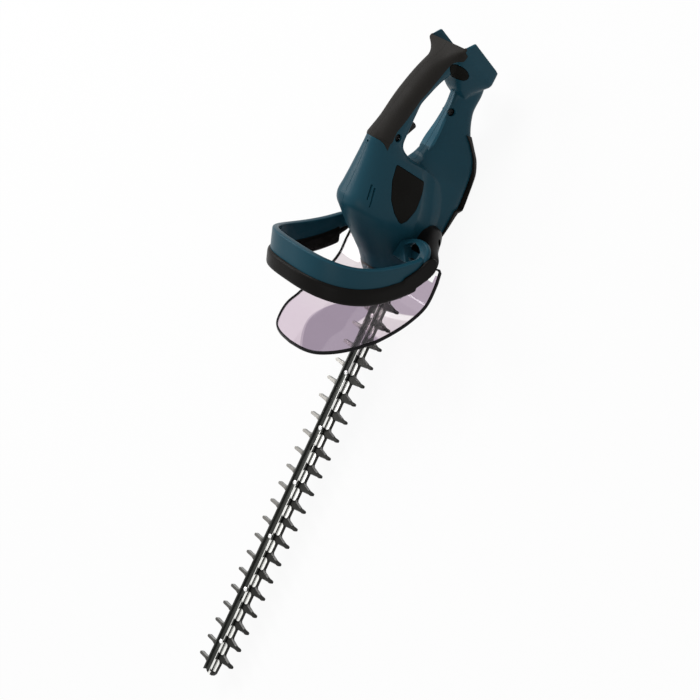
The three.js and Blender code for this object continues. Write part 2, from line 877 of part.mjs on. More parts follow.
function motorRotor() {
  const radius = motorRadius - motorWall - magnetThickness - airGap;
  const core = rod("z", radius, magnetLowZ, magnetHighZ, [motorX, 0, 0]);
  const slots = Array.from({ length: armatureSlots }, (_, k) => {
    const angle = (2 * Math.PI * k) / armatureSlots;
    const centre = [motorX + radius * Math.cos(angle), radius * Math.sin(angle), 0];
    return rod("z", armatureSlotRadius, magnetLowZ - cutOverrun, magnetHighZ + cutOverrun, centre, nutSides);
  });
  const commutatorLowZ = magnetHighZ - motorWall;
  const commutator = rod("z", radius / 2, commutatorLowZ, motorHighZ - motorWall, [motorX, 0, 0]);
  const shaft = rod("z", motorShaftRadius, gearLowZ - gearClearance / 2, bellHighZ - fitGap, [
    motorX,
    0,
    0,
  ], smallSides);
  return joined(cut(core, ...slots), commutator, shaft);
}

function coolingFan() {
  const lowZ = caseHighZ + fanGap;
  const disc = rod("z", fanRadius, lowZ, lowZ + motorWall, [0, 0, 0], caseSides);
  const hub = rod("z", fanHubRadius, lowZ, lowZ + fanHeight, [0, 0, 0]);
  const vanes = Array.from({ length: fanBlades }, (_, k) => {
    const reach = fanRadius - motorWall / 2;
    const vane = slab(fanHubRadius / 2, reach, -motorWall / 2, motorWall / 2, lowZ, lowZ + fanHeight);
    return turned(vane, (2 * Math.PI * k) / fanBlades);
  });
  const bore = rod("z", shaftBoreRadius, lowZ - cutOverrun, lowZ + fanHeight + cutOverrun, [0, 0, 0], smallSides);
  return shifted(cut(joined(disc, hub, ...vanes), bore), motorX, 0, 0);
}

// Cup between gear case and motor, with windows that let the fan blow out
function motorMount() {
  const lowZ = caseHighZ + fitGap;
  const highZ = motorLowZ - fitGap;
  const inner = fanRadius + fanGap;
  const body = rod("z", inner + mountWall, lowZ, highZ, [motorX, 0, 0], caseSides);
  const room = rod("z", inner, lowZ - cutOverrun, highZ - mountWall, [motorX, 0, 0], caseSides);
  const bore = rod("z", motorBearingRadius, lowZ, highZ + cutOverrun, [motorX, 0, 0]);
  const windowLow = lowZ + mountWall;
  const windowHigh = highZ - mountWall * 2;
  const reach = inner * 2;
  const half = fanRadius / 2;
  const long = slab(motorX - reach, motorX + reach, -half, half, windowLow, windowHigh);
  const wide = slab(motorX - half, motorX + half, -reach, reach, windowLow, windowHigh);
  return cut(body, room, bore, long, wide);
}

// Spur gear outline with straight-flanked teeth
function gearShape(teeth, holeRadius) {
  const pitch = (gearModuleLength * teeth) / 2;
  const root = pitch - gearModuleLength * dedendumShare;
  const tip = pitch + gearModuleLength * addendumShare;
  const flank = [
    [-toothRootShare, root],
    [-toothTipShare, tip],
    [toothTipShare, tip],
    [toothRootShare, root],
  ];
  const points = Array.from({ length: teeth }, (_, tooth) => flank.map(([share, radius]) => {
    const angle = (2 * Math.PI * (tooth + share)) / teeth;
    return [radius * Math.cos(angle), radius * Math.sin(angle)];
  }));
  const shape = shapeOf(points.flat());
  shape.holes.push(holeOf(0, 0, holeRadius));
  return shape;
}

// The pinion stands half a tooth turned so that it meshes with the gear
function motorPinion() {
  const plain = plateZ(gearShape(pinionTeeth, shaftBoreRadius), gearLowZ, gearHighZ + gearClearance);
  return shifted(turned(plain, Math.PI / pinionTeeth), motorX, 0, 0);
}

// Gear case: round the crank gear, round the pinion, and a snout that guides the blades
const gearRadius = (gearModuleLength * gearTeeth) / 2;
const pinionRadius = (gearModuleLength * pinionTeeth) / 2;
const gearHighZ = gearLowZ + gearThickness;
const bearingLowZ = gearHighZ + gearClearance;
const caseRadius = gearRadius + gearModuleLength + gearClearance + caseWall;
const lugTopZ = guardFlatZ - guardThickness / 2 - fitGap;
const yokeRoomX = yokeHalfX + bladeStroke + gearClearance / 2;
const yokeRoomFront = yokeRoomX + yokeHalfY - spineHalf;
const yokeRoomY = yokeHalfY + gearClearance / 2;
const tunnelHalf = spineHalf + gearClearance / 2;
const upperBladeZ = slideGap / 2;
const barLowZ = upperBladeZ + bladeThickness + slideGap;
const barTopZ = barLowZ + barThickness;
const ribTopZ = barLowZ + ribHeight;
const ribFarY = barHalfFar + ribThickness;

function caseBlock(spread, zLow, zHigh) {
  return joined(
    rod("z", caseRadius + spread, zLow, zHigh, [crankX, 0, 0], caseSides),
    rod("z", pinionCaseRadius + spread, zLow, zHigh, [motorX, 0, 0]),
  );
}

function yokeBlock(spread, zLow, zHigh) {
  const rear = yokeRoomX + caseWall + spread;
  const front = yokeRoomFront + caseWall + spread;
  const halfY = yokeRoomY + caseWall + spread;
  return slab(crankX - rear, crankX + front, -halfY, halfY, zLow, zHigh);
}

function snoutBlock(spread, zLow, zHigh) {
  return slab(crankX, snoutTipX + spread, -snoutHalf - spread, snoutHalf + spread, zLow, zHigh);
}

function lugBlock(spread) {
  return slab(
    lugRearX - spread,
    lugFrontX + spread,
    -lugHalf - spread,
    lugHalf + spread,
    lugTopZ - lugThickness - spread,
    lugTopZ + spread,
  );
}

function caseEnvelope(spread) {
  return joined(
    caseBlock(spread, caseLowZ - spread, caseHighZ + spread),
    yokeBlock(spread, caseLowZ - spread, yokeRoomTopZ + spread),
    snoutBlock(spread, caseLowZ - spread, snoutTopZ + spread),
    lugBlock(spread),
  );
}

const guardScrewHoles = (zLow, zHigh) => [1, -1].map((side) => {
  return rod("z", screwShankRadius + fitGap, zLow, zHigh, [guardScrewX, side * guardScrewY, 0], smallSides);
});

function gearCase() {
  const lowZ = caseSplitZ + fitGap;
  const body = joined(
    caseBlock(0, lowZ, caseHighZ),
    yokeBlock(0, lowZ, yokeRoomTopZ),
    snoutBlock(0, lowZ, snoutTopZ),
    lugBlock(0),
  );
  const roomLowZ = gearLowZ - gearClearance;
  const roomRadius = gearRadius + gearModuleLength + gearClearance;
  const pinionRoomRadius = pinionRadius + gearModuleLength + gearClearance;
  const openZ = caseHighZ + cutOverrun;
  const underZ = caseSplitZ - cutOverrun;
  const outX = snoutTipX + cutOverrun;
  return cut(
    body,
    rod("z", roomRadius, roomLowZ, bearingLowZ, [crankX, 0, 0], caseSides),
    rod("z", pinionRoomRadius, roomLowZ, openZ, [motorX, 0, 0]),
    slab(crankX - yokeRoomX, crankX + yokeRoomFront, -yokeRoomY, yokeRoomY, underZ, barLowZ),
    slab(crankX, outX, -tunnelHalf, tunnelHalf, underZ, barLowZ),
    slab(barRootX - fitGap, outX, -ribFarY - fitGap, barHalfNear + fitGap, 0, ribTopZ + fitGap),
    rod("z", eccentricRadius + eccentricOffset + gearClearance, 0, gearLowZ, [crankX, 0, 0]),
    rod("z", crankShaftRadius + gearClearance, 0, openZ, [crankX, 0, 0]),
    rod("z", upperBearingRadius + fitGap, bearingLowZ, openZ, [crankX, 0, 0]),
    ...guardScrewHoles(0, guardTopZ),
  );
}

function gearCaseCover() {
  const body = joined(
    caseBlock(0, caseLowZ, caseSplitZ),
    yokeBlock(0, caseLowZ, caseSplitZ),
    snoutBlock(0, caseLowZ, caseSplitZ),
  );
  const seatLowZ = caseSplitZ - lowerBearingHeight - fitGap;
  return cut(body, rod("z", lowerBearingRadius + fitGap, seatLowZ, caseSplitZ + cutOverrun, [crankX, 0, 0]));
}

function crankGear() {
  const shaftHighZ = bearingLowZ + upperBearingHeight;
  const shape = gearShape(gearTeeth, crankShaftRadius / 2);
  return joined(
    shifted(plateZ(shape, gearLowZ, gearHighZ), crankX, 0, 0),
    rod("z", crankShaftRadius * 2, gearLowZ - gearClearance / 2, gearHighZ, [crankX, 0, 0]),
    rod("z", crankShaftRadius, caseSplitZ - lowerBearingHeight, shaftHighZ, [crankX, 0, 0]),
    rod("z", eccentricRadius, slideGap, bladeThickness, [crankX, eccentricOffset, 0]),
    rod("z", eccentricRadius, -bladeThickness, -slideGap, [crankX, -eccentricOffset, 0]),
  );
}

function crankBearing(outer, lowZ, height) {
  return ring("z", outer, crankShaftRadius + fitGap, lowZ, lowZ + height, [crankX, 0, 0]);
}

// Blade outline: a yoke round the crank, a neck, then teeth on both sides set off from each other
function toothPoints(x, side) {
  const half = [toothRootWidth, toothShoulderWidth, toothTipWidth].map((width) => width / 2);
  const out = [spineHalf, toothShoulderY, toothReach];
  const rising = out.map((reach, k) => [x - half[k], side * reach]);
  const falling = out.map((reach, k) => [x + half[k], side * reach]).reverse();
  return [...rising, ...falling];
}

function teethAlong(side) {
  const shift = side > 0 ? 0 : toothPitch * staggerShare;
  const toothAt = (_, k) => toothPoints(firstToothX + shift + k * toothPitch, side);
  return Array.from({ length: toothCount }, toothAt).flat();
}

function slotPath(x, length, width) {
  const path = new THREE.Path();
  const run = (length - width) / 2;
  path.absarc(x + run, 0, width / 2, -Math.PI / 2, Math.PI / 2, false);
  path.absarc(x - run, 0, width / 2, Math.PI / 2, -Math.PI / 2, false);
  return path;
}

const boltPlaces = Array.from({ length: boltCount }, (_, k) => firstBoltX + k * boltSpacing);

function blade(lowZ) {
  const yokeRear = crankX - yokeHalfX;
  const yokeFront = crankX + yokeHalfX;
  const neckX = yokeFront + yokeHalfY - spineHalf;
  const shape = shapeOf([
    [yokeRear, yokeHalfY],
    [yokeFront, yokeHalfY],
    [neckX, spineHalf],
    ...teethAlong(1),
    [bladeTipX - bladeNose, spineHalf],
    [bladeTipX, spineHalf - bladeNose],
    [bladeTipX, bladeNose - spineHalf],
    [bladeTipX - bladeNose, -spineHalf],
    ...teethAlong(-1).reverse(),
    [neckX, -spineHalf],
    [yokeFront, -yokeHalfY],
    [yokeRear, -yokeHalfY],
  ]);
  shape.holes.push(shapeOf([
    [crankX - yokeWindowX, -yokeWindowY],
    [crankX - yokeWindowX, yokeWindowY],
    [crankX + yokeWindowX, yokeWindowY],
    [crankX + yokeWindowX, -yokeWindowY],
  ]));
  const slotLength = 2 * (boltShankRadius + bladeStroke + fitGap);
  boltPlaces.forEach((x) => shape.holes.push(slotPath(x, slotLength, 2 * (boltShankRadius + fitGap))));
  return plateZ(shape, lowZ, lowZ + bladeThickness);
}

function guideBar() {
  const shape = shapeOf([
    [barRootX, -ribFarY],
    [barTipX, -ribFarY],
    [barTipX - barNose, barHalfNear],
    [barRootX, barHalfNear],
  ]);
  boltPlaces.forEach((x) => shape.holes.push(holeOf(x, 0, boltShankRadius + fitGap)));
  peepSlotPlaces.forEach((x) => shape.holes.push(slotPath(x, peepSlotLength, peepSlotWidth)));
  const flange = plateZ(shape, barLowZ, barTopZ);
  return joined(flange, slab(barRootX, barTipX, -ribFarY, -barHalfFar, barLowZ, ribTopZ));
}

// Bolt with its lock nut under the blades
function bladeBolt(x) {
  const headLow = barTopZ + fitGap;
  const nutHigh = -upperBladeZ - bladeThickness - fitGap;
  return joined(
    rod("z", boltHeadRadius, headLow, headLow + boltHeadHeight, [x, 0, 0], smallSides),
    rod("z", boltShankRadius, nutHigh - boltNutHeight / 2, headLow + boltHeadHeight / 2, [x, 0, 0], smallSides),
    rod("z", boltNutRadius, nutHigh - boltNutHeight, nutHigh, [x, 0, 0], nutSides),
  );
}

// Front handle: a band swept round an arch whose rear rim leans forward and straightens towards its top
const riseShare = (z) => Math.min(1, Math.max(0, (z - curlZ) / (handleTopZ - curlZ)));
const rimX = (z) => handleTopX - handleSweep * (1 - riseShare(z)) ** 2;
const bandDepth = (z) => handleDepthLow + (handleDepthHigh - handleDepthLow) * riseShare(z) ** depthPower;
const frameDepth = (z) => frameDepthLow + (frameDepthHigh - frameDepthLow) * riseShare(z) ** framePower;
const depthDirection = new THREE.Vector3(Math.cos(handleLean), 0, -Math.sin(handleLean));

// Half of the arch in Y and Z, from its lower end to the crown
function archHalf(lowEnd) {
  const arch = Array.from({ length: archSteps + 1 }, (_, k) => {
    const angle = (Math.PI * k) / (2 * archSteps);
    const rise = k === archSteps ? 1 : Math.sin(angle) ** archPower;
    const out = k === archSteps ? 0 : Math.cos(angle) ** archPower;
    return [handleHalf * out, handleShoulderZ + (handleTopZ - handleShoulderZ) * rise];
  });
  return [...lowEnd, ...arch];
}

function curlPoints() {
  const turnY = handleHalf - curlRadius;
  const turn = Array.from({ length: curlSteps + 1 }, (_, k) => {
    const angle = (Math.PI * k) / (2 * curlSteps);
    return [turnY + curlRadius * Math.sin(angle), curlZ + curlRadius * (1 - Math.cos(angle))];
  });
  return [[curlEndY, curlZ], [(curlEndY + turnY) / 2, curlZ], ...turn];
}

function archPath(lowEnd) {
  const half = archHalf(lowEnd);
  const other = half.slice(0, -1).reverse().map(([y, z]) => [-y, z]);
  return [...half, ...other].map(([y, z]) => new THREE.Vector3(rimX(z), y, z));
}

// Band between two depths, with the same thickness on both sides of the path
function band(path, from, to, half, round) {
  return loft(path.map((point, k) => {
    const before = path[Math.max(0, k - 1)];
    const after = path[Math.min(path.length - 1, k + 1)];
    const along = new THREE.Vector3().subVectors(after, before).normalize();
    const outward = new THREE.Vector3().crossVectors(along, depthDirection).normalize();
    const low = from(point.z);
    const high = to(point.z);
    const corners = [
      [low, half - round],
      [low + round, half],
      [high - round, half],
      [high, half - round],
      [high, round - half],
      [high - round, -half],
      [low + round, -half],
      [low, round - half],
    ];
    return corners.map(([depth, side]) => point
      .clone()
      .addScaledVector(depthDirection, depth)
      .addScaledVector(outward, side));
  }));
}

function frameBand(spread) {
  const half = handleThickness / 2 + spread;
  const farSide = (z) => frameDepth(z) + leverLap + spread;
  return band(archPath(curlPoints()), () => -spread, farSide, half, half * curlSpreadShare);
}

function leverPinWay(side, spread) {
  const [low, high] = side > 0 ? [leverPinFrom, leverPinTo] : [-leverPinTo, -leverPinFrom];
  const centre = [leverPivotX, 0, leverPivotZ];
  return rod("y", leverPinRadius + spread, low - spread, high + spread, centre, smallSides);
}

const leverEarShares = [
  [-0.3, 0.9],
  [0.06, 1.24],
  [0.98, 0.64],
  [0.72, -0.02],
  [0.3, -0.34],
  [-0.3, -0.34],
  [-0.5, 0.1],
];

function leverEar() {
  const place = ([u, w]) => [leverPivotX + u * leverEarReach, leverPivotZ + w * leverEarReach];
  const points = leverEarShares.map(place);
  return plateY(shapeOf(points), leverEarFrom, leverEarFrom + leverEarThickness);
}

function frontSwitchLever() {
  const half = handleThickness / 2 + leverGap + leverWall;
  const skin = band(archPath([[handleHalf, leverLowZ]]), frameDepth, bandDepth, half, half / 2);
  const channelTo = (z) => frameDepth(z) + leverLap + leverTravel;
  const channelHalf = handleThickness / 2 + leverGap;
  const channelFrom = (z) => frameDepth(z) - leverTravel;
  const channel = band(archPath(curlPoints()), channelFrom, channelTo, channelHalf, leverGap);
  const body = joined(skin, leverEar(), mirrored(leverEar()));
  return cut(body, channel, frameBand(leverGap), leverPinWay(1, fitGap), leverPinWay(-1, fitGap));
}

// Handle bracket: an arm that grows out of the body's side to the lever's pivot
const bracketShares = [
  [0.36, -0.31, -0.23, 0.33, 0.21],
  [0.53, -0.3, -0.22, 0.31, 0.19],
  [0.69, -0.226, -0.13, 0.25, 0.15],
  [0.855, -0.138, -0.045, 0.195, 0.113],
  [1, -0.075, -0.006, 0.163, 0.094],
];

function bracketScrew(spread) {
  const tipY = caseRadius + bracketScrewGap;
  const headTop = bracketScrewY + (spread > 0 ? handleHalf : screwHeadHeight);
  const headRadius = spread > 0 ? recessRadius : screwHeadRadius;
  const headMiddleY = bracketScrewY + screwHeadHeight / 2;
  const centre = [bracketScrewX, 0, bracketScrewZ];
  return joined(
    rod("y", headRadius, bracketScrewY - spread, headTop, centre, roundSides),
    rod("y", screwShankRadius + spread, tipY - spread, headMiddleY, centre, smallSides),
  );
}

// The switch sits in a pocket that opens towards the body
function leverSwitch(spread) {
  const inner = spread > 0 ? switchY - switchHeight * 2 : switchY - switchWidth / 2;
  return slab(
    switchX - switchLength / 2 - spread,
    switchX + switchLength / 2 + spread,
    inner,
    switchY + switchWidth / 2 + spread,
    switchZ - spread,
    switchZ + switchHeight + spread,
  );
}

function handleBracket() {
  const rings = bracketShares.map(([y, x, z, halfX, halfZ]) => Array.from({ length: bracketSides }, (_, k) => {
    const angle = (2 * Math.PI * k) / bracketSides;
    return new THREE.Vector3(
      leverPivotX + handleHalf * (x + halfX * powered(Math.cos(angle), bracketPower)),
      y * handleHalf,
      leverPivotZ + handleHalf * (z + halfZ * powered(Math.sin(angle), bracketPower)),
    );
  }));
  return cut(loft(rings), housingEnvelope, frameBand(fitGap), leverPinWay(1, fitGap), bracketScrew(fitGap));
}

// Guard: a clear scoop, flat over the gear case and swept up in front of the hands
const guardProfileShares = [
  [-0.06, 0],
  [0.12, 0],
  [0.22, 0],
  [0.27, 0.008],
  [0.361, 0.06],
  [0.51, 0.2],
  [0.673, 0.42],
  [0.803, 0.65],
  [0.912, 0.83],
  [1.03, 1.05],
];
const guardPlanShares = [
  [0, 0.94],
  [0.03, 0.985],
  [0.116, 1],
  [0.211, 1],
  [0.361, 0.978],
  [0.52, 0.94],
  [0.673, 0.888],
  [0.721, 0.854],
  [0.803, 0.787],
  [0.891, 0.652],
  [0.959, 0.478],
  [0.99, 0.27],
  [1, 0.09],
];

function guardSheet(thickness) {
  const run = guardTopX - guardRearX;
  const rise = guardTopZ - guardFlatZ;
  const place = ([u, w]) => new THREE.Vector2(guardRearX + u * run, guardFlatZ + w * rise);
  const stations = guardProfileShares.map(place);
  const line = new THREE.SplineCurve(stations).getPoints(guardSteps);
  const offset = (side) => line.map((point, k) => {
    const before = line[Math.max(0, k - 1)];
    const after = line[Math.min(line.length - 1, k + 1)];
    const along = after.clone().sub(before).normalize();
    return [point.x - side * along.y * (thickness / 2), point.y + side * along.x * (thickness / 2)];
  });
  return plateY(shapeOf([...offset(1), ...offset(-1).reverse()]), -guardHalf * 2, guardHalf * 2);
}

function guardPlan(inset) {
  const run = guardTopX - guardRearX - inset * 2;
  const half = guardPlanShares.map(([u, y]) => [guardRearX + inset + u * run, y * (guardHalf - inset)]);
  const other = half.map(([x, y]) => [x, -y]).reverse();
  return plateZ(shapeOf([...half, ...other]), -guardTopZ, guardTopZ * 2);
}

function guardPlate() {
  const plate = guardSheet(guardThickness).intersect(guardPlan(0));
  const rim = cut(guardSheet(guardRimThickness).intersect(guardPlan(0)), guardPlan(guardRim));
  const notch = slab(guardRearX * 2, guardNotchX, -guardNotchHalf, guardNotchHalf, 0, guardTopZ);
  return cut(
    joined(plate, rim),
    notch,
    housingOuter(-guardClearance),
    noseCoverBody(guardClearance),
    ...guardScrewHoles(0, guardTopZ),
  );
}

function guardScrew(side) {
  const headLow = guardFlatZ + guardThickness / 2 + fitGap;
  const tipZ = lugTopZ - lugThickness + fitGap;
  const centre = [guardScrewX, side * guardScrewY, 0];
  return joined(
    rod("z", screwHeadRadius, headLow, headLow + screwHeadHeight, centre, smallSides),
    rod("z", screwShankRadius, tipZ, headLow + screwHeadHeight / 2, centre, smallSides),
  );
}

// Black cover in front of the nose, over the gear case's snout
const noseShares = [
  [-0.3, 1.2, 1.02],
  [0, 1, 1],
  [0.3, 0.78, 0.9],
  [0.6, 0.52, 0.78],
  [1, 0.2, 0.62],
];

function noseCoverBody(spread) {
  const low = snoutTopZ + fitGap - spread;
  const rings = noseShares.map(([place, top, half]) => {
    const high = snoutTopZ + top * noseHeight + spread;
    return Array.from({ length: ringPoints }, (_, k) => {
      const angle = (2 * Math.PI * k) / ringPoints;
      const rise = powered(Math.sin(angle), nosePower);
      const width = (half * noseHalf + spread) * (1 - noseNarrowShare * Math.max(0, rise));
      return new THREE.Vector3(
        noseRearX + place * noseLength,
        width * powered(Math.cos(angle), nosePower),
        (low + high) / 2 + ((high - low) / 2) * rise,
      );
    });
  });
  rings[rings.length - 1].forEach((point) => {
    point.x += spread;
  });
  return loft(rings);
}

const noseCover = () => cut(noseCoverBody(0), housingEnvelope, lugBlock(fitGap));

// Base pad under the belly, its sole cut flat
function basePad() {
  const rings = padRingShares.map((row) => bodyRing(row, 0, 0, ringPoints));
  const region = plateY(shapeOf(bodyPoints(padShares)), -bodyHalfWidth * 2, bodyHalfWidth * 2);
  const ground = slab(tailX, 0, -bodyHalfWidth * 2, bodyHalfWidth * 2, soleZ - bodyHeight, soleZ);
  return cut(loft(rings).intersect(region), ground, housingEnvelope, caseEnvelope(fitGap));
}

// Housing: one shell with its webs and bosses, cut along the middle plane
function housingShell() {
  const tables = [fuselageShares, bellyShares, gripShares];
  const rooms = tables.map((table) => bodyLoft(table, wall, 0, cavityPoints));
  const cavity = cut(joined(...rooms), tail(0));
  const shell = cut(solidHousing, cavity);
  const half = bodyHalfWidth * 2;
  const webs = webShares.map((share) => {
    const z = motorLowZ + share * (motorHighZ - motorLowZ);
    return cut(
      slab(motorX - webReach, motorX + webReach, -half, half, z, z + webThickness),
      rod("z", motorRadius + fitGap, z - cutOverrun, z + cutOverrun * 2, [motorX, 0, 0], caseSides),
    );
  });
  const gripBoss = rod("y", screwBossRadius, -half, half, [gripScrewX, 0, gripScrewZ]);
  const armBoss = rod("y", screwBossRadius, -half, half, [armScrewX, 0, armScrewZ]);
  const pinCentre = [triggerPinX, 0, triggerPinZ];
  const pinBoss = cut(
    rod("y", triggerBossRadius, -triggerBossHalf, triggerBossHalf, pinCentre),
    rod("y", triggerBossRadius + cutOverrun, -triggerHalf - fitGap * 2, triggerHalf + fitGap * 2, pinCentre),
  );
  const switchRib = slab(
    switchRibX - switchRibThickness / 2,
    switchRibX + switchRibThickness / 2,
    -triggerSwitchHalf,
    triggerSwitchHalf,
    triggerSwitchHighZ + fitGap,
    bodyHeight,
  );
  const inner = joined(...webs, gripBoss, armBoss, pinBoss, switchRib).intersect(solidHousing);
  const slotHalf = triggerHalf + fitGap;
  const triggerSlot = slab(
    triggerSlotRearX,
    triggerSlotFrontX,
    -slotHalf,
    slotHalf,
    triggerSlotLowZ,
    triggerSlotHighZ,
  );
  const holeCentre = [partingHoleX, 0, 0];
  return cut(
    joined(shell, inner),
    triggerSlot,
    batteryBay(),
    terminalBody(fitGap),
    lead(batteryLeadPlaces(), leadRadius + leadWay),
    caseEnvelope(fitGap),
    rod("y", triggerPinRadius + fitGap, -triggerPinHalf - fitGap, triggerPinHalf + fitGap, pinCentre, smallSides),
    gripScrew(fitGap),
    armScrew(fitGap),
    rod("z", partingHoleRadius, bodyZ(1) - partingHoleDepth - wall, bodyHeight, holeCentre, smallSides),
  );
}

const shell = housingShell();

function housingHalf(side) {
  const plain = side > 0 ? shell : mirrored(shell);
  const vents = ventShares.map((shares) => plateY(shapeOf(bodyPoints(shares)), ventDepthY, bodyHalfWidth));
  const screw = bracketScrew(fitGap);
  const pockets = [
    pocketOf(overmouldRegion, overmouldDepth),
    pocketOf(insertRegion, insertDepth),
    pocketOf(tailPadRegion, insertDepth),
  ];
  return cut(plain.intersect(partingHalf()), ...vents, ...pockets, screw);
}

const overmould = () => skinOf(overmouldRegion, overmouldDepth).intersect(partingHalf());
const sideInsert = () => skinOf(insertRegion, insertDepth);
const tailPad = () => skinOf(tailPadRegion, insertDepth);

const group = new THREE.Group();

function add(name, solid, finishName) {
  const mesh = new THREE.Mesh(geometryOf(solid), finish(finishName));
  mesh.name = name;
  group.add(mesh);
}

add("housing_left", housingHalf(1), "shell");
add("housing_right", mirrored(housingHalf(-1)), "shell");
add("grip_overmould_left", cut(overmould(), gripScrew(fitGap)), "rubber");
add("grip_overmould_right", mirrored(overmould()), "rubber");
add("side_insert_left", sideInsert(), "rubber");
add("side_insert_right", mirrored(sideInsert()), "rubber");
add("tail_pad_left", tailPad(), "rubber");
add("tail_pad_right", mirrored(tailPad()), "rubber");
add("base_pad", basePad(), "rubber");
add("nose_cover", noseCover(), "black");

add("front_handle_frame", cut(frameBand(0), housingEnvelope), "shell");
add("front_switch_lever", frontSwitchLever(), "rubber");
add("lever_pin_left", leverPinWay(1, 0), "steel");
add("lever_pin_right", leverPinWay(-1, 0), "steel");
add("handle_bracket_left", cut(handleBracket(), leverSwitch(fitGap)), "black");
add("handle_bracket_right", mirrored(handleBracket()), "black");
add("handle_screw_left", bracketScrew(0), "darkSteel");
add("handle_screw_right", mirrored(bracketScrew(0)), "darkSteel");
add("lever_switch", leverSwitch(0), "black");
add("guard_plate", guardPlate(), "clear");
add("guard_screw_left", guardScrew(1), "steel");
add("guard_screw_right", guardScrew(-1), "steel");

add("terminal_block", terminalBlock(), "black");
add("terminal_positive", terminalBlade(1, 0), "brass");
add("terminal_negative", terminalBlade(-1, 0), "brass");
add("battery_lead", lead(batteryLeadPlaces(), leadRadius), "rubber");
add("motor_lead", lead(motorLeadPlaces(), leadRadius), "rubber");
add("rear_trigger", rearTrigger(), "black");
add("trigger_pin", rod("y", triggerPinRadius, -triggerPinHalf, triggerPinHalf, [
  triggerPinX,
  0,
  triggerPinZ,
], smallSides), "steel");
add("trigger_switch", slab(
  triggerSwitchRearX,
  triggerSwitchFrontX,
  -triggerSwitchHalf,
  triggerSwitchHalf,
  triggerSwitchLowZ,
  triggerSwitchHighZ,
), "black");
add("grip_screw", gripScrew(0), "darkSteel");
add("arm_screw", armScrew(0), "darkSteel");

add("motor_can", motorCan(), "alloy");
add("motor_end_bell", motorEndBell(), "black");
add("motor_magnet_left", magnet(), "darkSteel");
add("motor_magnet_right", mirrored(magnet()), "darkSteel");
add("motor_rotor", motorRotor(), "copper");
add("motor_bearing_lower", motorBearing(motorLowZ + fitGap), "steel");
add("motor_bearing_upper", motorBearing(bellHighZ - motorBearingHeight - fitGap), "steel");
add("motor_pinion", motorPinion(), "steel");
add("cooling_fan", coolingFan(), "black");
add("motor_mount", motorMount(), "black");

add("gear_case", gearCase(), "alloy");
add("gear_case_cover", gearCaseCover(), "alloy");
add("crank_gear", crankGear(), "steel");
add("crank_bearing_upper", crankBearing(upperBearingRadius, bearingLowZ + fitGap, upperBearingHeight), "steel");
add("crank_bearing_lower", crankBearing(
  lowerBearingRadius,
  caseSplitZ - lowerBearingHeight,
  lowerBearingHeight,
), "steel");
add("upper_blade", blade(upperBladeZ), "darkSteel");
add("lower_blade", blade(-upperBladeZ - bladeThickness), "darkSteel");
add("guide_bar", guideBar(), "darkSteel");
boltPlaces.forEach((x, k) => add(`blade_bolt_${k + 1}`, bladeBolt(x), "steel"));

group.position.set(-soleMiddleX, 0, -soleZ);
group.updateMatrixWorld(true);

export default group;
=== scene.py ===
"""Looks of the cordless hedge trimmer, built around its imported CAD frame.

Forms are in millimetres from the first tooth's middle. Marks, lamps and the camera are in metres in the row frame.
"""

import json
import math

import bmesh
import bpy
from mathutils import Matrix, Vector


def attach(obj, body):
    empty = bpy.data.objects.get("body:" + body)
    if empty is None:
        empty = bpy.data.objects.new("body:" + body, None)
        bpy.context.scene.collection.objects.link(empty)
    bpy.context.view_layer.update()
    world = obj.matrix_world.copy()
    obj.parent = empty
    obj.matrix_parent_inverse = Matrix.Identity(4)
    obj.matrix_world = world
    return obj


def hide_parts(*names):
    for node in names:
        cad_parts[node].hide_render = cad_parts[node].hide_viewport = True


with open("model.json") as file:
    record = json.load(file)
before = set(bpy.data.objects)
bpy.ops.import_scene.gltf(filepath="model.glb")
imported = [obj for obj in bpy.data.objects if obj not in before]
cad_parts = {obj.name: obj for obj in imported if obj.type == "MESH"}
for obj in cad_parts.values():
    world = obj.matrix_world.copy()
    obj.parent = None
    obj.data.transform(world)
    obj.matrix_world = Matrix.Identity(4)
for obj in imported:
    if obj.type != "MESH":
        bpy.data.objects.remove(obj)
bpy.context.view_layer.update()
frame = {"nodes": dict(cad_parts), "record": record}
NODES = frame["nodes"]

# Camera, at the photograph's place and roll
CAMERA_PLACE = Vector((-0.1389, 1.3855, 1.4356))
CAMERA_RIGHT = Vector((-0.4129, 0.5865, -0.6968))
CAMERA_UP = Vector((-0.8904, -0.4208, 0.1735))
CAMERA_LENS = 81.39
SENSOR_WIDTH = 36

# Colours, linear
TEAL = (0.0085, 0.048, 0.071)
SOFT_BLACK = (0.011, 0.0098, 0.0084)
INSERT_BLACK = (0.0048, 0.0045, 0.0036)
HARD_BLACK = (0.0075, 0.007, 0.0068)
# Pale tops of the far teeth, a painted highlight
FAR_TOOTH_HIGHLIGHT = (0.42, 0.405, 0.38)
# Pale bevels, partly bright steel and partly a painted highlight
BEVEL_GRIND_AND_HIGHLIGHT = (0.32, 0.32, 0.31)
# Tone of the ground patches, also used for a painted highlight line
GROUND_PATCH_AND_HIGHLIGHT = (0.8, 0.8, 0.77)
PATCH_BORDER = (0.006, 0.006, 0.006)
# Painted reflections on the guard: a paler one, a dark one, a darker one at the near side and a white band
PALE_REFLECTION = (0.79, 0.73, 0.75)
DARK_REFLECTION = (0.37, 0.3, 0.38)
SIDE_REFLECTION = (0.47, 0.39, 0.47)
BAND_REFLECTION = (0.97, 0.91, 0.94)
GUARD_TINT = (0.72, 0.61, 0.69)

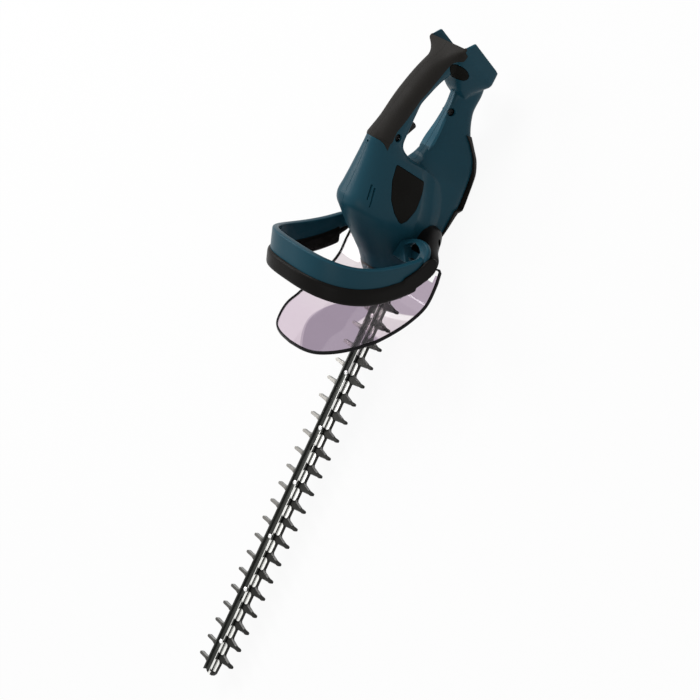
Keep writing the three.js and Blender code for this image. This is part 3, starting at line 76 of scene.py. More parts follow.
# Marks on the blades and the bar, metres: their places, and where each fade starts and ends. The ground patches are
# the steel's own; the far teeth's pale tops and the bar's pale line are painted highlights, and the pale bevels are
# partly painted highlights
PATCH_PLACE, PATCH_PITCH, PATCH_RUN, PATCH_RADIUS, PATCH_SIDE = 0.188, 0.026, 0.0046, 0.0043, 0.0062
PATCH_FADE, BORDER_FADE, PATCH_GAIN = (-0.0004, 0.0002), (0.0016, 0.0022), (0.18, 0.34)
FAR_SIDE, FAR_HIGHLIGHT_RUN, BEVEL_SIDE = (-0.018, -0.012), (0.2, 0.6), (0.023, 0.025)
BAR_EDGE, BAR_TOP_FADE = 0.002, (-0.0006, -0.0004)
# Pale lines: on the bar a painted highlight along its chamfer's upper edge, on a blade a pale strip along its
# middle
BAR_LINE, BLADE_LINE = (0.0003, 0.0005), (0.0019, 0.0021)

# How far a face looks up or along where a mark shows; the bevels are paler only where they lean towards the key
# lamp, partly bright steel and partly a painted highlight
TOP_RISE, BEVEL_RISE, BEVEL_LEAN = (0.2, 0.35), (0.75, 0.92), (-0.5, -0.2)

# Painted reflections on the guard, metres, in the same way
PALE_RUN = (0.15, 0.22)
DARK_REFLECTION_PLACE, DARK_REFLECTION_EDGE, DARK_REFLECTION_CURVE, DARK_REFLECTION_FADE = 0.21, -0.026, 28.6, (-0.0004, 0.0004)
DARK_REFLECTION_SIDE, DARK_REFLECTION_RUN = (0.03, 0.031), (0.2, 0.202)
BAND_MIDDLE, BAND_CURVE, BAND_START, BAND_END = 0.022, 3.3, (0.1725, 0.1745), (0.180, 0.182)
NEAR_SIDE, SIDE_RUN = (0.028, 0.03), (0.172, 0.174)

# Edges paler by how pointed they are, partly from wear and partly as a painted highlight
EDGE_WEAR_AND_HIGHLIGHT = (0.52, 0.62)


def add_node(tree, kind, **values):
    node = tree.nodes.new(kind)
    for name, value in values.items():
        if name in node.inputs:
            node.inputs[name].default_value = value
        else:
            setattr(node, name, value)
    return node


class Field:
    """A socket of a node tree, which sums, products and ramps take further."""

    def __init__(self, tree, socket):
        self.tree, self.socket = tree, socket

    def worked(self, operation, other=None):
        """A Math node on this field and another field or number."""
        node = add_node(self.tree, "ShaderNodeMath", operation=operation)
        for socket, value in zip(node.inputs, (self, other)):
            if isinstance(value, Field):
                self.tree.links.new(value.socket, socket)
            elif value is not None:
                socket.default_value = value
        return Field(self.tree, node.outputs[0])

    def __add__(self, other):
        return self.worked("ADD", other)

    def __sub__(self, other):
        return self.worked("SUBTRACT", other)

    def __mul__(self, other):
        return self.worked("MULTIPLY", other)

    def ramp(self, low, high, from_low=0.3, from_high=0.7):
        """Runs from low to high while this field runs between its two limits."""
        node = add_node(self.tree, "ShaderNodeMapRange")
        limits = {"From Min": from_low, "From Max": from_high, "To Min": low, "To Max": high}
        for name, value in limits.items():
            node.inputs[name].default_value = value
        self.tree.links.new(self.socket, node.inputs["Value"])
        return Field(self.tree, node.outputs["Result"])

    def rises(self, limits, shift=0.0):
        """Nought before the limits and one after them."""
        return self.ramp(0, 1, limits[0] + shift, limits[1] + shift)

    def falls(self, limits, shift=0.0):
        """One before the limits and nought after them."""
        return self.ramp(1, 0, limits[0] + shift, limits[1] + shift)


class Finish:
    """A material in the making: its node tree, its shader and the tone laid on so far."""

    def __init__(self, name):
        self.material = bpy.data.materials.new(name)
        self.material.use_nodes = True
        self.tree = self.material.node_tree
        self.shader = self.tree.nodes["Principled BSDF"]
        self.tone = None

    def link(self, output, node, name):
        self.tree.links.new(output, node.inputs[name])

    def places(self, stretch=(1, 1, 1)):
        """Object coordinates, stretched."""
        mapping = add_node(self.tree, "ShaderNodeMapping")
        mapping.inputs["Scale"].default_value = stretch
        self.link(add_node(self.tree, "ShaderNodeTexCoord").outputs["Object"], mapping, "Vector")
        return mapping.outputs["Vector"]

    def parts_of(self, vector):
        split = add_node(self.tree, "ShaderNodeSeparateXYZ")
        self.link(vector, split, 0)
        return [Field(self.tree, part) for part in split.outputs]

    def texture(self, kind, output="Fac", stretch=(1, 1, 1), **values):
        """A procedural texture over the object."""
        node = add_node(self.tree, f"ShaderNodeTex{kind}", **values)
        self.link(self.places(stretch), node, "Vector")
        return Field(self.tree, node.outputs[output])

    def paint(self, color, mask, under=None):
        """A tone where a mask says, over the tone so far or over a first one."""
        mix = add_node(self.tree, "ShaderNodeMix", data_type="RGBA")
        if under:
            mix.inputs["A"].default_value = (*under, 1)
        else:
            self.link(self.tone, mix, "A")
        mix.inputs["B"].default_value = (*color, 1)
        self.link(mask.socket, mix, "Factor")
        self.tone = mix.outputs["Result"]
        self.link(self.tone, self.shader, "Base Color")

    def paint_edge_wear_and_highlight(self, color, most):
        """Another tone along pointed edges: partly the wear of hands and use, partly a painted highlight along
        them.
        """
        shape = add_node(self.tree, "ShaderNodeNewGeometry")
        self.paint(color, Field(self.tree, shape.outputs["Pointiness"]).ramp(0, most, *EDGE_WEAR_AND_HIGHLIGHT))

    def roughen(self, field):
        self.link(field.socket, self.shader, "Roughness")

    def bump(self, field, strength, distance):
        node = add_node(self.tree, "ShaderNodeBump", Strength=strength, Distance=distance)
        self.link(field.socket, node, "Height")
        self.link(node.outputs["Normal"], self.shader, "Normal")

    def fix(self, name, value):
        """A plain value on the shader's own socket."""
        self.shader.inputs[name].default_value = value


def shaded(color, share):
    return tuple(min(1.0, part * share) for part in color)


def moulded_plastic(name, color, roughness, gloss=0.11, grain=2400, bump=0.12, spread=0.08, edge_wear_and_highlight_gain=2.4):
    """Spark-eroded moulded plastic: a fine grain, slow changes of tone and gloss, and pointed edges paler, partly
    from wear and partly as a painted highlight.
    """
    finish = Finish(name)
    fine = finish.texture("Noise", Scale=grain, Detail=3.0, Roughness=0.6)
    slow = finish.texture("Noise", Scale=14.0, Detail=4.0, Roughness=0.55)
    finish.paint(shaded(color, 1 + spread), slow, under=shaded(color, 1 - spread))
    finish.paint_edge_wear_and_highlight(shaded(color, edge_wear_and_highlight_gain), most=0.8)
    finish.roughen(slow.ramp(roughness - 0.05, roughness + 0.06))
    finish.bump(fine, bump, distance=0.0002)
    finish.fix("Specular IOR Level", gloss)
    return finish.material


def soft_skin(name, color, gloss=0.14):
    """Soft elastomer: a pebbled grain, matt, a little paler along pointed edges, partly from wear and partly as a
    painted highlight.
    """
    finish = Finish(name)
    pebbles = finish.texture("Voronoi", "Distance", Scale=900.0)
    slow = finish.texture("Noise", Scale=30.0, Detail=5.0, Roughness=0.6)
    finish.paint(shaded(color, 1.3), slow, under=shaded(color, 0.8))
    finish.paint_edge_wear_and_highlight(shaded(color, 2), most=0.6)
    finish.roughen(slow.ramp(0.55, 0.72))
    finish.bump(pebbles, strength=0.35, distance=0.0003)
    finish.fix("Specular IOR Level", gloss)
    return finish.material


def ground_steel(name, color, roughness, across=(60, 900, 900)):
    """Steel with fine grinding lines and a mottled oil film."""
    finish = Finish(name)
    lines = finish.texture("Noise", stretch=across, Scale=1.0, Detail=6.0, Roughness=0.7)
    film = finish.texture("Noise", Scale=55.0, Detail=6.0, Roughness=0.65)
    finish.paint(shaded(color, 1.35), film, under=shaded(color, 0.6))
    finish.roughen(lines.ramp(roughness - 0.1, roughness + 0.14))
    finish.bump(lines, strength=0.15, distance=0.0001)
    finish.fix("Metallic", 0.9)
    return finish


def steel(*values):
    return ground_steel(*values).material


def cutter_steel(name, color, roughness, marks=""):
    """Dark steel with ground patches between the near teeth; the far teeth paler, a painted highlight; bevels that
    face the key lamp paler, partly bright steel and partly a painted highlight; and a pale line, on the bar a
    painted highlight along its edge.
    """
    finish = ground_steel(name, color, roughness)
    along, across, _ = finish.parts_of(finish.places())
    lean, _, rise = finish.parts_of(add_node(finish.tree, "ShaderNodeTexCoord").outputs["Normal"])
    # The far teeth paler, most near the body: a painted highlight on them
    finish.paint(FAR_TOOTH_HIGHLIGHT, across.falls(FAR_SIDE) * along.ramp(0.9, 0.15, *FAR_HIGHLIGHT_RUN))
    if not marks:
        return finish.material
    # Bevels on the flanks that face the key lamp paler: partly the bevels' bright steel, partly a painted highlight
    finish.paint(BEVEL_GRIND_AND_HIGHLIGHT, rise.falls(BEVEL_RISE) * lean.falls(BEVEL_LEAN) * across.falls(BEVEL_SIDE))
    top, edge, line = rise.rises(TOP_RISE), 0.0, BLADE_LINE
    if marks == "bar":
        top, edge, line = top * across.rises(BAR_TOP_FADE, BAR_EDGE), BAR_EDGE, BAR_LINE
    step = (along - PATCH_PLACE).worked("PINGPONG", PATCH_PITCH / 2)
    run = (step - PATCH_RUN).worked("MAXIMUM", 0.0)
    side = across - PATCH_SIDE
    away = (run * run + side * side).worked("SQRT")
    finish.paint(PATCH_BORDER, top * away.falls(BORDER_FADE, PATCH_RADIUS))
    patch = top * away.falls(PATCH_FADE, PATCH_RADIUS)
    finish.paint(GROUND_PATCH_AND_HIGHLIGHT, patch * along.ramp(0.25, 1, *PATCH_GAIN))
    # A pale line on top faces: on the bar a painted highlight along its chamfer's upper edge, on a blade a pale
    # strip along its middle
    finish.paint(GROUND_PATCH_AND_HIGHLIGHT, top * (across - edge).worked("ABSOLUTE").falls(line))
    return finish.material


def clear_plastic(name, tint):
    """Clear tinted sheet with faint moulding waves, and painted reflections over it: paler at the rear, dark over a
    curved region, darker on the near side up to a white band.
    """
    finish = Finish(name)
    waves = finish.texture("Noise", Scale=22.0, Detail=2.0)
    finish.bump(waves, strength=0.05, distance=0.001)
    finish.paint(tint, waves, under=shaded(tint, 0.97))
    along, across, _ = finish.parts_of(finish.places())
    # Paler towards the rear: a painted reflection of a lamp
    finish.paint(PALE_REFLECTION, along.falls(PALE_RUN))
    # Dark over a curved region: a painted dark reflection
    way = along - DARK_REFLECTION_PLACE
    dark_reflection = (across - way * way * DARK_REFLECTION_CURVE).rises(DARK_REFLECTION_FADE, DARK_REFLECTION_EDGE)
    beyond = across.falls(DARK_REFLECTION_SIDE).worked("MAXIMUM", along.rises(DARK_REFLECTION_RUN))
    finish.paint(DARK_REFLECTION, dark_reflection * beyond)
    side = across - BAND_MIDDLE
    line = along + side * side * BAND_CURVE
    near = across.rises(NEAR_SIDE)
    # Darker on the near side before a curved line: part of the painted reflections
    finish.paint(SIDE_REFLECTION, near * line.falls(SIDE_RUN))
    # A white band along the curved line: a painted reflection of a lamp
    finish.paint(BAND_REFLECTION, near * (line.rises(BAND_START) * line.falls(BAND_END)))
    finish.fix("Roughness", 0.04)
    finish.fix("Transmission Weight", 1.0)
    finish.fix("IOR", 1.3)
    return finish.material


RIM_BLACK = (0.004, 0.0035, 0.0045)
MATERIALS = {
    "housing_plastic": moulded_plastic("teal plastic", TEAL, 0.36),
    "grip_rubber": soft_skin("grip skin", SOFT_BLACK),
    "black_plastic": moulded_plastic("black plastic", HARD_BLACK, 0.4),
    "clear_plastic": clear_plastic("clear guard", GUARD_TINT),
    "blade_steel": steel("blade steel", (0.11, 0.108, 0.1), 0.38),
    "steel": steel("bright steel", (0.5, 0.5, 0.5), 0.3),
    "brass": steel("brass", (0.6, 0.42, 0.17), 0.3),
    "die_cast": steel("die cast", (0.3, 0.31, 0.32), 0.5, (300, 300, 300)),
    "copper_winding": steel("copper winding", (0.5, 0.2, 0.1), 0.4, (300, 300, 1200)),
    "insert_skin": soft_skin("insert skin", INSERT_BLACK, gloss=0.06),
    "lever_black": moulded_plastic("lever black", (0.005, 0.0045, 0.004), 0.38, gloss=0.06),
    "rim_black": moulded_plastic("rim black", RIM_BLACK, 0.2, gloss=0.1, grain=300, bump=0.02, edge_wear_and_highlight_gain=1),
    "dark_steel": steel("dark steel", (0.012, 0.012, 0.012), 0.45),
    "upper_steel": cutter_steel("upper blade steel", (0.022, 0.022, 0.02), 0.42, "blade"),
    "lower_steel": cutter_steel("lower blade steel", (0.022, 0.022, 0.02), 0.4),
    "bar_steel": cutter_steel("bar steel", (0.045, 0.047, 0.043), 0.35, "bar"),
    "bolt_steel": steel("bolt steel", (0.85, 0.85, 0.83), 0.3),
}
SLOT_OF = {entry["node"]: entry["material_slot"] for entry in frame["record"]["subparts"]}

for node_name, node_object in NODES.items():
    node_object.data.materials.clear()
    node_object.data.materials.append(MATERIALS[SLOT_OF[node_name]])

# Body stations: place, lowest and highest point, half width, roundness, narrowing at the top (shares of the body)
BODY_TAIL, BODY_LENGTH = -340.0, 290.0
BODY_SOLE, BODY_HEIGHT, BODY_HALF = -25.0, 166.0, 42.0
FUSELAGE_SHARES = (
    (0.455, 0.71, 0.95, 0.46, 0.86, 0.2),
    (0.497, 0.69, 0.985, 0.52, 0.86, 0.24),
    (0.517, 0.64, 0.985, 0.56, 0.86, 0.24),
    (0.534, 0.55, 0.983, 0.62, 0.84, 0.24),
    (0.545, 0.38, 0.98, 0.72, 0.8, 0.24),
    (0.58, 0.15, 0.977, 0.87, 0.78, 0.24),
    (0.645, 0.08, 0.974, 0.97, 0.74, 0.24),
    (0.71, 0.06, 0.975, 1, 0.7, 0.22),
    (0.759, 0.07, 0.979, 1, 0.66, 0.2),
    (0.793, 0.09, 0.962, 0.98, 0.68, 0.18),
    (0.831, 0.11, 0.9, 0.93, 0.76, 0.2),
    (0.893, 0.13, 0.766, 0.84, 0.8, 0.24),
    (0.948, 0.14, 0.632, 0.76, 0.8, 0.24),
    (0.983, 0.145, 0.55, 0.72, 0.8, 0.24),
    (1.038, 0.15, 0.45, 0.68, 0.8, 0.24),
    (1.07, 0.152, 0.39, 0.66, 0.8, 0.24),
)
BELLY_SHARES = (
    (0.125, 0.255, 0.5, 0.62, 0.6, 0),
    (0.152, 0.205, 0.45, 0.5, 0.62, 0.1),
    (0.193, 0.172, 0.412, 0.38, 0.7, 0.2),
    (0.248, 0.168, 0.402, 0.34, 0.78, 0.3),
    (0.29, 0.15, 0.404, 0.37, 0.76, 0.45),
    (0.352, 0.11, 0.412, 0.5, 0.7, 0.6),
    (0.393, 0.073, 0.42, 0.65, 0.62, 0.66),
    (0.438, 0.04, 0.432, 0.8, 0.54, 0.66),
    (0.5, 0.018, 0.47, 0.86, 0.46, 0.62),
    (0.53, 0.018, 0.49, 0.88, 0.45, 0.5),
    (0.569, 0.018, 0.5, 0.893, 0.44, 0.3),
    (0.655, 0.018, 0.46, 0.917, 0.45, 0.2),
    (0.741, 0.04, 0.43, 0.905, 0.5, 0.2),
    (0.828, 0.06, 0.41, 0.857, 0.56, 0.2),
    (0.897, 0.075, 0.39, 0.786, 0.64, 0.2),
    (0.966, 0.09, 0.36, 0.714, 0.7, 0.2),
)
GRIP_SHARES = (
    (0.031, 0.6, 0.672, 0.81, 0.22, 0),
    (0.045, 0.55, 0.68, 0.81, 0.25, 0),
    (0.06, 0.52, 0.686, 0.72, 0.4, 0),
    (0.09, 0.51, 0.708, 0.56, 0.7, 0),
    (0.114, 0.524, 0.738, 0.47, 0.85, 0),
    (0.145, 0.545, 0.778, 0.44, 0.92, 0),
    (0.193, 0.605, 0.816, 0.43, 0.92, 0),
    (0.2586, 0.665, 0.857, 0.43, 0.92, 0),
    (0.317, 0.703, 0.888, 0.43, 0.92, 0),
    (0.355, 0.7, 0.907, 0.43, 0.92, 0),
    (0.414, 0.7, 0.93, 0.45, 0.92, 0),
    (0.46, 0.7, 0.957, 0.47, 0.9, 0),
    (0.497, 0.7, 0.978, 0.5, 0.88, 0),
)
TAIL_SHARES = (
    (0.031, 0.253, 0.672, 0.81, 0.16, 0),
    (0.09, 0.253, 0.672, 0.81, 0.2, 0),
    (0.124, 0.271, 0.66, 0.7, 0.35, 0),
    (0.15, 0.29, 0.62, 0.56, 0.45, 0),
    (0.178, 0.307, 0.54, 0.42, 0.6, 0),
    (0.2, 0.31, 0.46, 0.32, 0.7, 0),
)
TAIL_LEAN, TAIL_MIDDLE_SHARE = 0.36, 0.43
PAD_RING_SHARES = (
    (0.352, 0.095, 0.4, 0.47, 0.7, 0),
    (0.393, 0.055, 0.42, 0.62, 0.55, 0),
    (0.438, 0.015, 0.44, 0.76, 0.42, 0),
    (0.5, -0.008, 0.45, 0.85, 0.32, 0),
    (0.569, -0.008, 0.464, 0.9, 0.28, 0),
    (0.65, -0.008, 0.452, 0.94, 0.26, 0),
    (0.668, 0.004, 0.45, 0.94, 0.4, 0),
    (0.741, 0.024, 0.422, 0.93, 0.46, 0),
    (0.828, 0.046, 0.404, 0.885, 0.54, 0),
)
OVERMOULD_SHARES = (
    (-0.06, 1.1), (-0.06, 0.66), (0.045, 0.66), (0.055, 0.625), (0.08, 0.615), (0.101, 0.648),
    (0.13, 0.668), (0.179, 0.696), (0.24, 0.734), (0.291, 0.774), (0.339, 0.796), (0.387, 0.82),
    (0.417, 0.841), (0.447, 0.863), (0.495, 0.871), (0.53, 0.875), (0.512, 0.914), (0.504, 0.946), (0.5, 1.1),
)
INSERT_SHARES = (
    (0.569, 0.775), (0.634, 0.77), (0.708, 0.721), (0.755, 0.65), (0.782, 0.58),
    (0.788, 0.55), (0.769, 0.512), (0.715, 0.474), (0.64, 0.478), (0.595, 0.486),
)
VENT_SHARES = (
    ((0.681, 0.905), (0.746, 0.899), (0.746, 0.889), (0.681, 0.891)),
    ((0.688, 0.88), (0.771, 0.866), (0.771, 0.856), (0.688, 0.866)),
)
PAD_SHARES = (
    (0.352, 0.2), (0.377, 0.155), (0.41, 0.118), (0.45, 0.08), (0.51, 0.042), (0.6, 0.024), (0.645, 0.018),
    (0.664, 0.093), (0.779, 0.09), (0.81, 0.075), (0.81, -0.1), (0.3, -0.1), (0.3, 0.2),
)
# Places and fineness of the forms
ROW_SHIFT = (177.0, 0.0, 25.0)
MM = 0.001
WELD = 1e-7
FINE = 1.25
SMOOTHING, SOFTENING, SOFTENING_FADE = 5, 110.0, 2.5
SHARP_ANGLE = math.radians(38)
RING_POINTS, STATION_STEP = 88, 3.5
CORNER_SHARE = 0.45
SQUARE = ((-1, -1), (1, -1), (1, 1), (-1, 1))
SIDES = ((1, "left"), (-1, "right"))

# Walls and gaps, and limits that lie beyond every form they cut
WALL = 3.0
GAP, SKIN_GAP, INSERT_GAP = 0.3, 0.35, 0.8
PARTING_GAP, GRIP_PARTING_GAP = 0.25, 0.1
FAR, REAR, UNDER, OVER = 70.0, -400.0, -60.0, 200.0


def in_row(point):
    """A point in millimetres from the first tooth, as metres in the row frame."""
    return Vector([(value + shift) * MM for value, shift in zip(point, ROW_SHIFT)])


def span(side, inner, outer):
    """Two distances from the middle plane, as low and high on one side of it."""
    return sorted((side * inner, side * outer))


def turns(count):
    """Cosine and sine of even steps round a circle."""
    return [(math.cos(2 * math.pi * k / count), math.sin(2 * math.pi * k / count)) for k in range(count)]


def new_object(name, mesh):
    made = bpy.data.objects.new(name, mesh)
    bpy.context.scene.collection.objects.link(made)
    return made


def loft(rings):
    """A capped skin through rings with the same number of points, its faces turned outwards."""
    count = len(rings[0])
    last = count * (len(rings) - 1)
    faces = []
    for here in range(0, last, count):
        for column in range(count):
            after = (column + 1) % count
            faces.append((here + column, here + after, here + count + after, here + count + column))
    faces += [tuple(range(count)), tuple(range(last, last + count))]
    mesh = bpy.data.meshes.new("form")
    mesh.from_pydata([in_row(point) for ring in rings for point in ring], [], faces)
    edit = bmesh.new()
    edit.from_mesh(mesh)
    bmesh.ops.remove_doubles(edit, verts=edit.verts, dist=WELD)
    bmesh.ops.recalc_face_normals(edit, faces=edit.faces)
    edit.to_mesh(mesh)
    edit.free()
    return new_object("form", mesh)


def prism(outline, low, high, axis="y"):
    """An outline extruded along Y, or along Z."""
    if axis == "y":
        return loft([[(first, along, second) for first, second in outline] for along in (low, high)])
    return loft([[(*point, along) for point in outline] for along in (low, high)])


def box(low, high):
    corners = ((low[0], low[1]), (high[0], low[1]), (high[0], high[1]), (low[0], high[1]))
    return prism(corners, low[2], high[2], "z")


def roomy(low, high):
    """The room round a box, with the gap on all sides."""
    return box([value - GAP for value in low], [value + GAP for value in high])


def lathe(profile, centre, axis="z", sides=32):
    """A turned form: profile pairs of radius and height along the axis through a centre."""
    rings = []
    for radius, height in profile:
        ring = []
        for u, v in turns(sides):
            step = (radius * u, height, radius * v) if axis == "y" else (radius * u, radius * v, height)
            ring.append(tuple(c + s for c, s in zip(centre, step)))
        rings.append(ring)
    return loft(rings)


def rod(axis, radius, low, high, centre, sides=40):
    return lathe(((radius, low), (radius, high)), centre, axis, sides)


def applied(made):
    """Replaces an object's mesh by the result of its modifiers."""
    graph = bpy.context.evaluated_depsgraph_get()
    mesh = bpy.data.meshes.new_from_object(made.evaluated_get(graph))
    made.modifiers.clear()
    made.data = mesh
    return made


def drop(*made):
    for item in made:
        bpy.data.objects.remove(item)

def combined(made, others, operation):
    """Boolean of an object with each of the others, which it uses up."""
    for other in others:
        modifier = made.modifiers.new("boolean", "BOOLEAN")
        modifier.operation = operation
        modifier.solver = "MANIFOLD"
        modifier.object = other
        applied(made)
    drop(*others)
    return made


def cut(made, *others):
    return combined(made, others, "DIFFERENCE")


def joined(made, *others):
    return combined(made, others, "UNION")


def common(made, *others):
    return combined(made, others, "INTERSECT")


def copied(made):
    return new_object(made.name, made.data.copy())


def mirrored(made):
    twin = copied(made)
    for vertex in twin.data.vertices:
        vertex.co.y = -vertex.co.y
    twin.data.flip_normals()
    return twin


def both(made):
    """A form's mirror twin and the form."""
    return mirrored(made), made


def swollen(made, distance):
    """A copy with its skin moved outwards."""
    twin = copied(made)
    normals = [vertex.normal.copy() for vertex in twin.data.vertices]
    for vertex, normal in zip(twin.data.vertices, normals):
        vertex.co += normal * distance * MM
    return twin


def smoothing(made, rounds):
    smooth = made.modifiers.new("smooth", "SMOOTH")
    smooth.factor = 0.5
    smooth.iterations = rounds
    return smooth


def remeshed(made):
    """A form rebuilt from fine cubes and smoothed, so that its junctions flow together."""
    remesh = made.modifiers.new("remesh", "REMESH")
    remesh.mode = "VOXEL"
    remesh.voxel_size = FINE * MM
    smoothing(made, SMOOTHING)
    return applied(made)


def softened(made, centre, reach):
    """Smooths a form within an ellipsoid, fading towards its edge."""
    group = made.vertex_groups.new(name="near")
    middle = in_row(centre)
    for vertex in made.data.vertices:
        steps = [(a - b) / MM / size for a, b, size in zip(vertex.co, middle, reach)]
        away = math.sqrt(sum(step**2 for step in steps))
        if away < 1:
            group.add([vertex.index], min(1.0, SOFTENING_FADE * (1 - away)), "REPLACE")
    smoothing(made, round(SOFTENING / FINE**2)).vertex_group = group.name
    applied(made)
    made.vertex_groups.clear()
    return made


def bevelled(made, width, segments):
    """A form with its sharp edges bevelled."""
    bevel = made.modifiers.new("bevel", "BEVEL")
    bevel.limit_method = "ANGLE"
    bevel.width = width * MM
    bevel.segments = segments
    return applied(made)


def piece(made, name, body, slot, replaces=(), finish=None):
    """Names a finished form, gives it its finish and lets it ride on a body in place of CAD nodes."""
    made.name = name
    made.data.name = name
    made.data.shade_smooth()
    made.data.set_sharp_from_angle(angle=SHARP_ANGLE)
    made.data.materials.clear()
    made.data.materials.append(MATERIALS[finish or slot])
    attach(made, body)
    if replaces:
        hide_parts(*replaces)


def powered(value, power):
    return math.copysign(abs(value) ** power, value)


def body_x(share):
    return BODY_TAIL + BODY_LENGTH * share


def body_z(share):
    return BODY_SOLE + BODY_HEIGHT * share


def body_points(shares):
    return [(body_x(place), body_z(height)) for place, height in shares]


def eased(table, step):
    """Rows between the listed ones by their first column, on a curve that never passes a listed value."""
    grades = [[(q - p) / (b[0] - a[0]) for p, q in zip(a[1:], b[1:])] for a, b in zip(table, table[1:])]
    slopes = [grades[0]]
    for before, after in zip(grades, grades[1:]):
        slopes.append([0 if p * q <= 0 else 2 * p * q / (p + q) for p, q in zip(before, after)])
    slopes.append(grades[-1])
    rows = []
    for k, (a, b) in enumerate(zip(table, table[1:])):
        run = b[0] - a[0]
        count = max(1, math.ceil(abs(run) / step))
        for part in range(count):
            t = part / count
            start, leave = 2 * t**3 - 3 * t**2 + 1, t**3 - 2 * t**2 + t
            end, arrive = 3 * t**2 - 2 * t**3, t**3 - t**2
            rows.append((a[0] + t * run, *(
                start * p + leave * run * m + end * q + arrive * run * n
                for p, q, m, n in zip(a[1:], b[1:], slopes[k], slopes[k + 1])
            )))
    return [*rows, table[-1]]


def through(points, steps):
    """Points on a smooth curve through the listed ones."""
    last = len(points) - 1
    found = []
    for k in range(last):
        near = [points[min(max(k + shift, 0), last)] for shift in (-1, 0, 1, 2)]
        for part in range(steps):
            t = part / steps
            found.append(tuple(
                0.5 * (2 * b + (c - a) * t + (2 * a - 5 * b + 4 * c - d) * t * t + (3 * b - a - 3 * c + d) * t**3)
                for a, b, c, d in zip(*near)
            ))
    return [*found, points[-1]]


def rounded(outline, radius, steps=4):
    """An outline with its corners rounded."""
    found = []
    for k, point in enumerate(outline):
        corner = Vector(point)
        before, after = Vector(outline[k - 1]) - corner, Vector(outline[(k + 1) % len(outline)]) - corner
        reach = min(radius, before.length * CORNER_SHARE, after.length * CORNER_SHARE)
        start, end = corner + before.normalized() * reach, corner + after.normalized() * reach
        for part in range(steps + 1):
            t = part / steps
            found.append(tuple((1 - t) ** 2 * start + 2 * t * (1 - t) * corner + t * t * end))
    return found


def grown(outline, distance):
    """An outline with its sides moved outwards by a distance."""
    area = sum(a[0] * b[1] - b[0] * a[1] for a, b in zip(outline, outline[1:] + outline[:1]))
    way = math.copysign(1, area)
    found = []
    for k, point in enumerate(outline):
        before, after = Vector(outline[k - 1]), Vector(outline[(k + 1) % len(outline)])
        first, second = (Vector(point) - before).normalized(), (after - Vector(point)).normalized()
        normal = Vector((first.y + second.y, -first.x - second.x)).normalized()
        stretch = max(0.5, normal.dot(Vector((first.y, -first.x))))
        found.append(tuple(Vector(point) + normal * way * distance / stretch))
    return found


def body_ring(station, inset, lean, count):
    place, low_share, high_share, half_share, power, narrow = station
    low, high = body_z(low_share) + inset, body_z(high_share) - inset
    half = BODY_HALF * half_share - inset
    ring = []
    for u, v in turns(count):
        rise = powered(v, power)
        z = (low + high) / 2 + (high - low) / 2 * rise
        y = half * powered(u, power) * (1 - narrow * (rise + 1) / 2)
        ring.append((body_x(place) - lean * (z - body_z(TAIL_MIDDLE_SHARE)), y, z))
    return ring


def body_loft(table, inset=0.0, lean=0.0, count=RING_POINTS, step=STATION_STEP):
    rings = [body_ring(row, inset, lean, count) for row in eased(table, step / BODY_LENGTH)]
    for end, way in ((0, 1), (-1, -1)):
        rings[end] = [(x + way * inset, y, z) for x, y, z in rings[end]]
    return loft(rings)


def tail_face(z):
    return body_x(TAIL_SHARES[0][0]) - TAIL_LEAN * (z - body_z(TAIL_MIDDLE_SHARE))


def tail_block(half, start, end, low, high):
    """A block across the middle that leans with the tail's rear face."""
    corners = [(tail_face(z) + step, z) for z, step in ((low, start), (low, end), (high, end), (high, start))]
    return prism(corners, -half, half)


# Housing: four lofts run together, then hollowed and cut for what sits in it
TAIL_BLEND, TAIL_BLEND_REACH = (-300, 0, 46), (24, 60, 34)
CHAMFER_DROP, CHAMFER_RUN = 12.5, 11.0
TAIL_TOP = body_z(TAIL_SHARES[0][2])
slant_x = tail_face(TAIL_TOP - CHAMFER_DROP)
slant = prism([
    (slant_x, TAIL_TOP - CHAMFER_DROP),
    (slant_x + CHAMFER_RUN, TAIL_TOP),
    (slant_x + CHAMFER_RUN, BODY_HEIGHT),
    (slant_x - CHAMFER_RUN * 2, BODY_HEIGHT),
    (slant_x - CHAMFER_RUN * 2, TAIL_TOP - CHAMFER_DROP),
], -BODY_HALF * 2, BODY_HALF * 2)
tail = cut(body_loft(TAIL_SHARES, lean=TAIL_LEAN), slant)
body_solid = joined(tail, body_loft(GRIP_SHARES), body_loft(BELLY_SHARES), body_loft(FUSELAGE_SHARES))

# The waist along each flank and the round front end of the handle's loop: place, height, skin, depth
WAIST = (
    (-190, 53, 20, 0), (-182, 52, 26.5, 1), (-166, 49, 34, 2), (-150, 43, 37.5, 2.5), (-133, 36.5, 38.6, 2.8),
    (-118, 33, 38.4, 2.5), (-105, 30, 36.5, 1.6), (-92, 28, 34, 0),
)
WAIST_RADIUS, LOOP_END, LOOP_RADIUS = 26.0, (-193.5, 0, 60.5), 8.5
WAIST_POINTS, WAIST_STEP = 48, 4
waist = loft([[
    (x, skin - depth + WAIST_RADIUS * (1 + u), z + WAIST_RADIUS * v) for u, v in turns(WAIST_POINTS)
] for x, z, skin, depth in eased(WAIST, WAIST_STEP)])
cut(body_solid, *both(waist), rod("y", LOOP_RADIUS, -BODY_HALF, BODY_HALF, LOOP_END))
body_solid = softened(remeshed(body_solid), TAIL_BLEND, TAIL_BLEND_REACH)

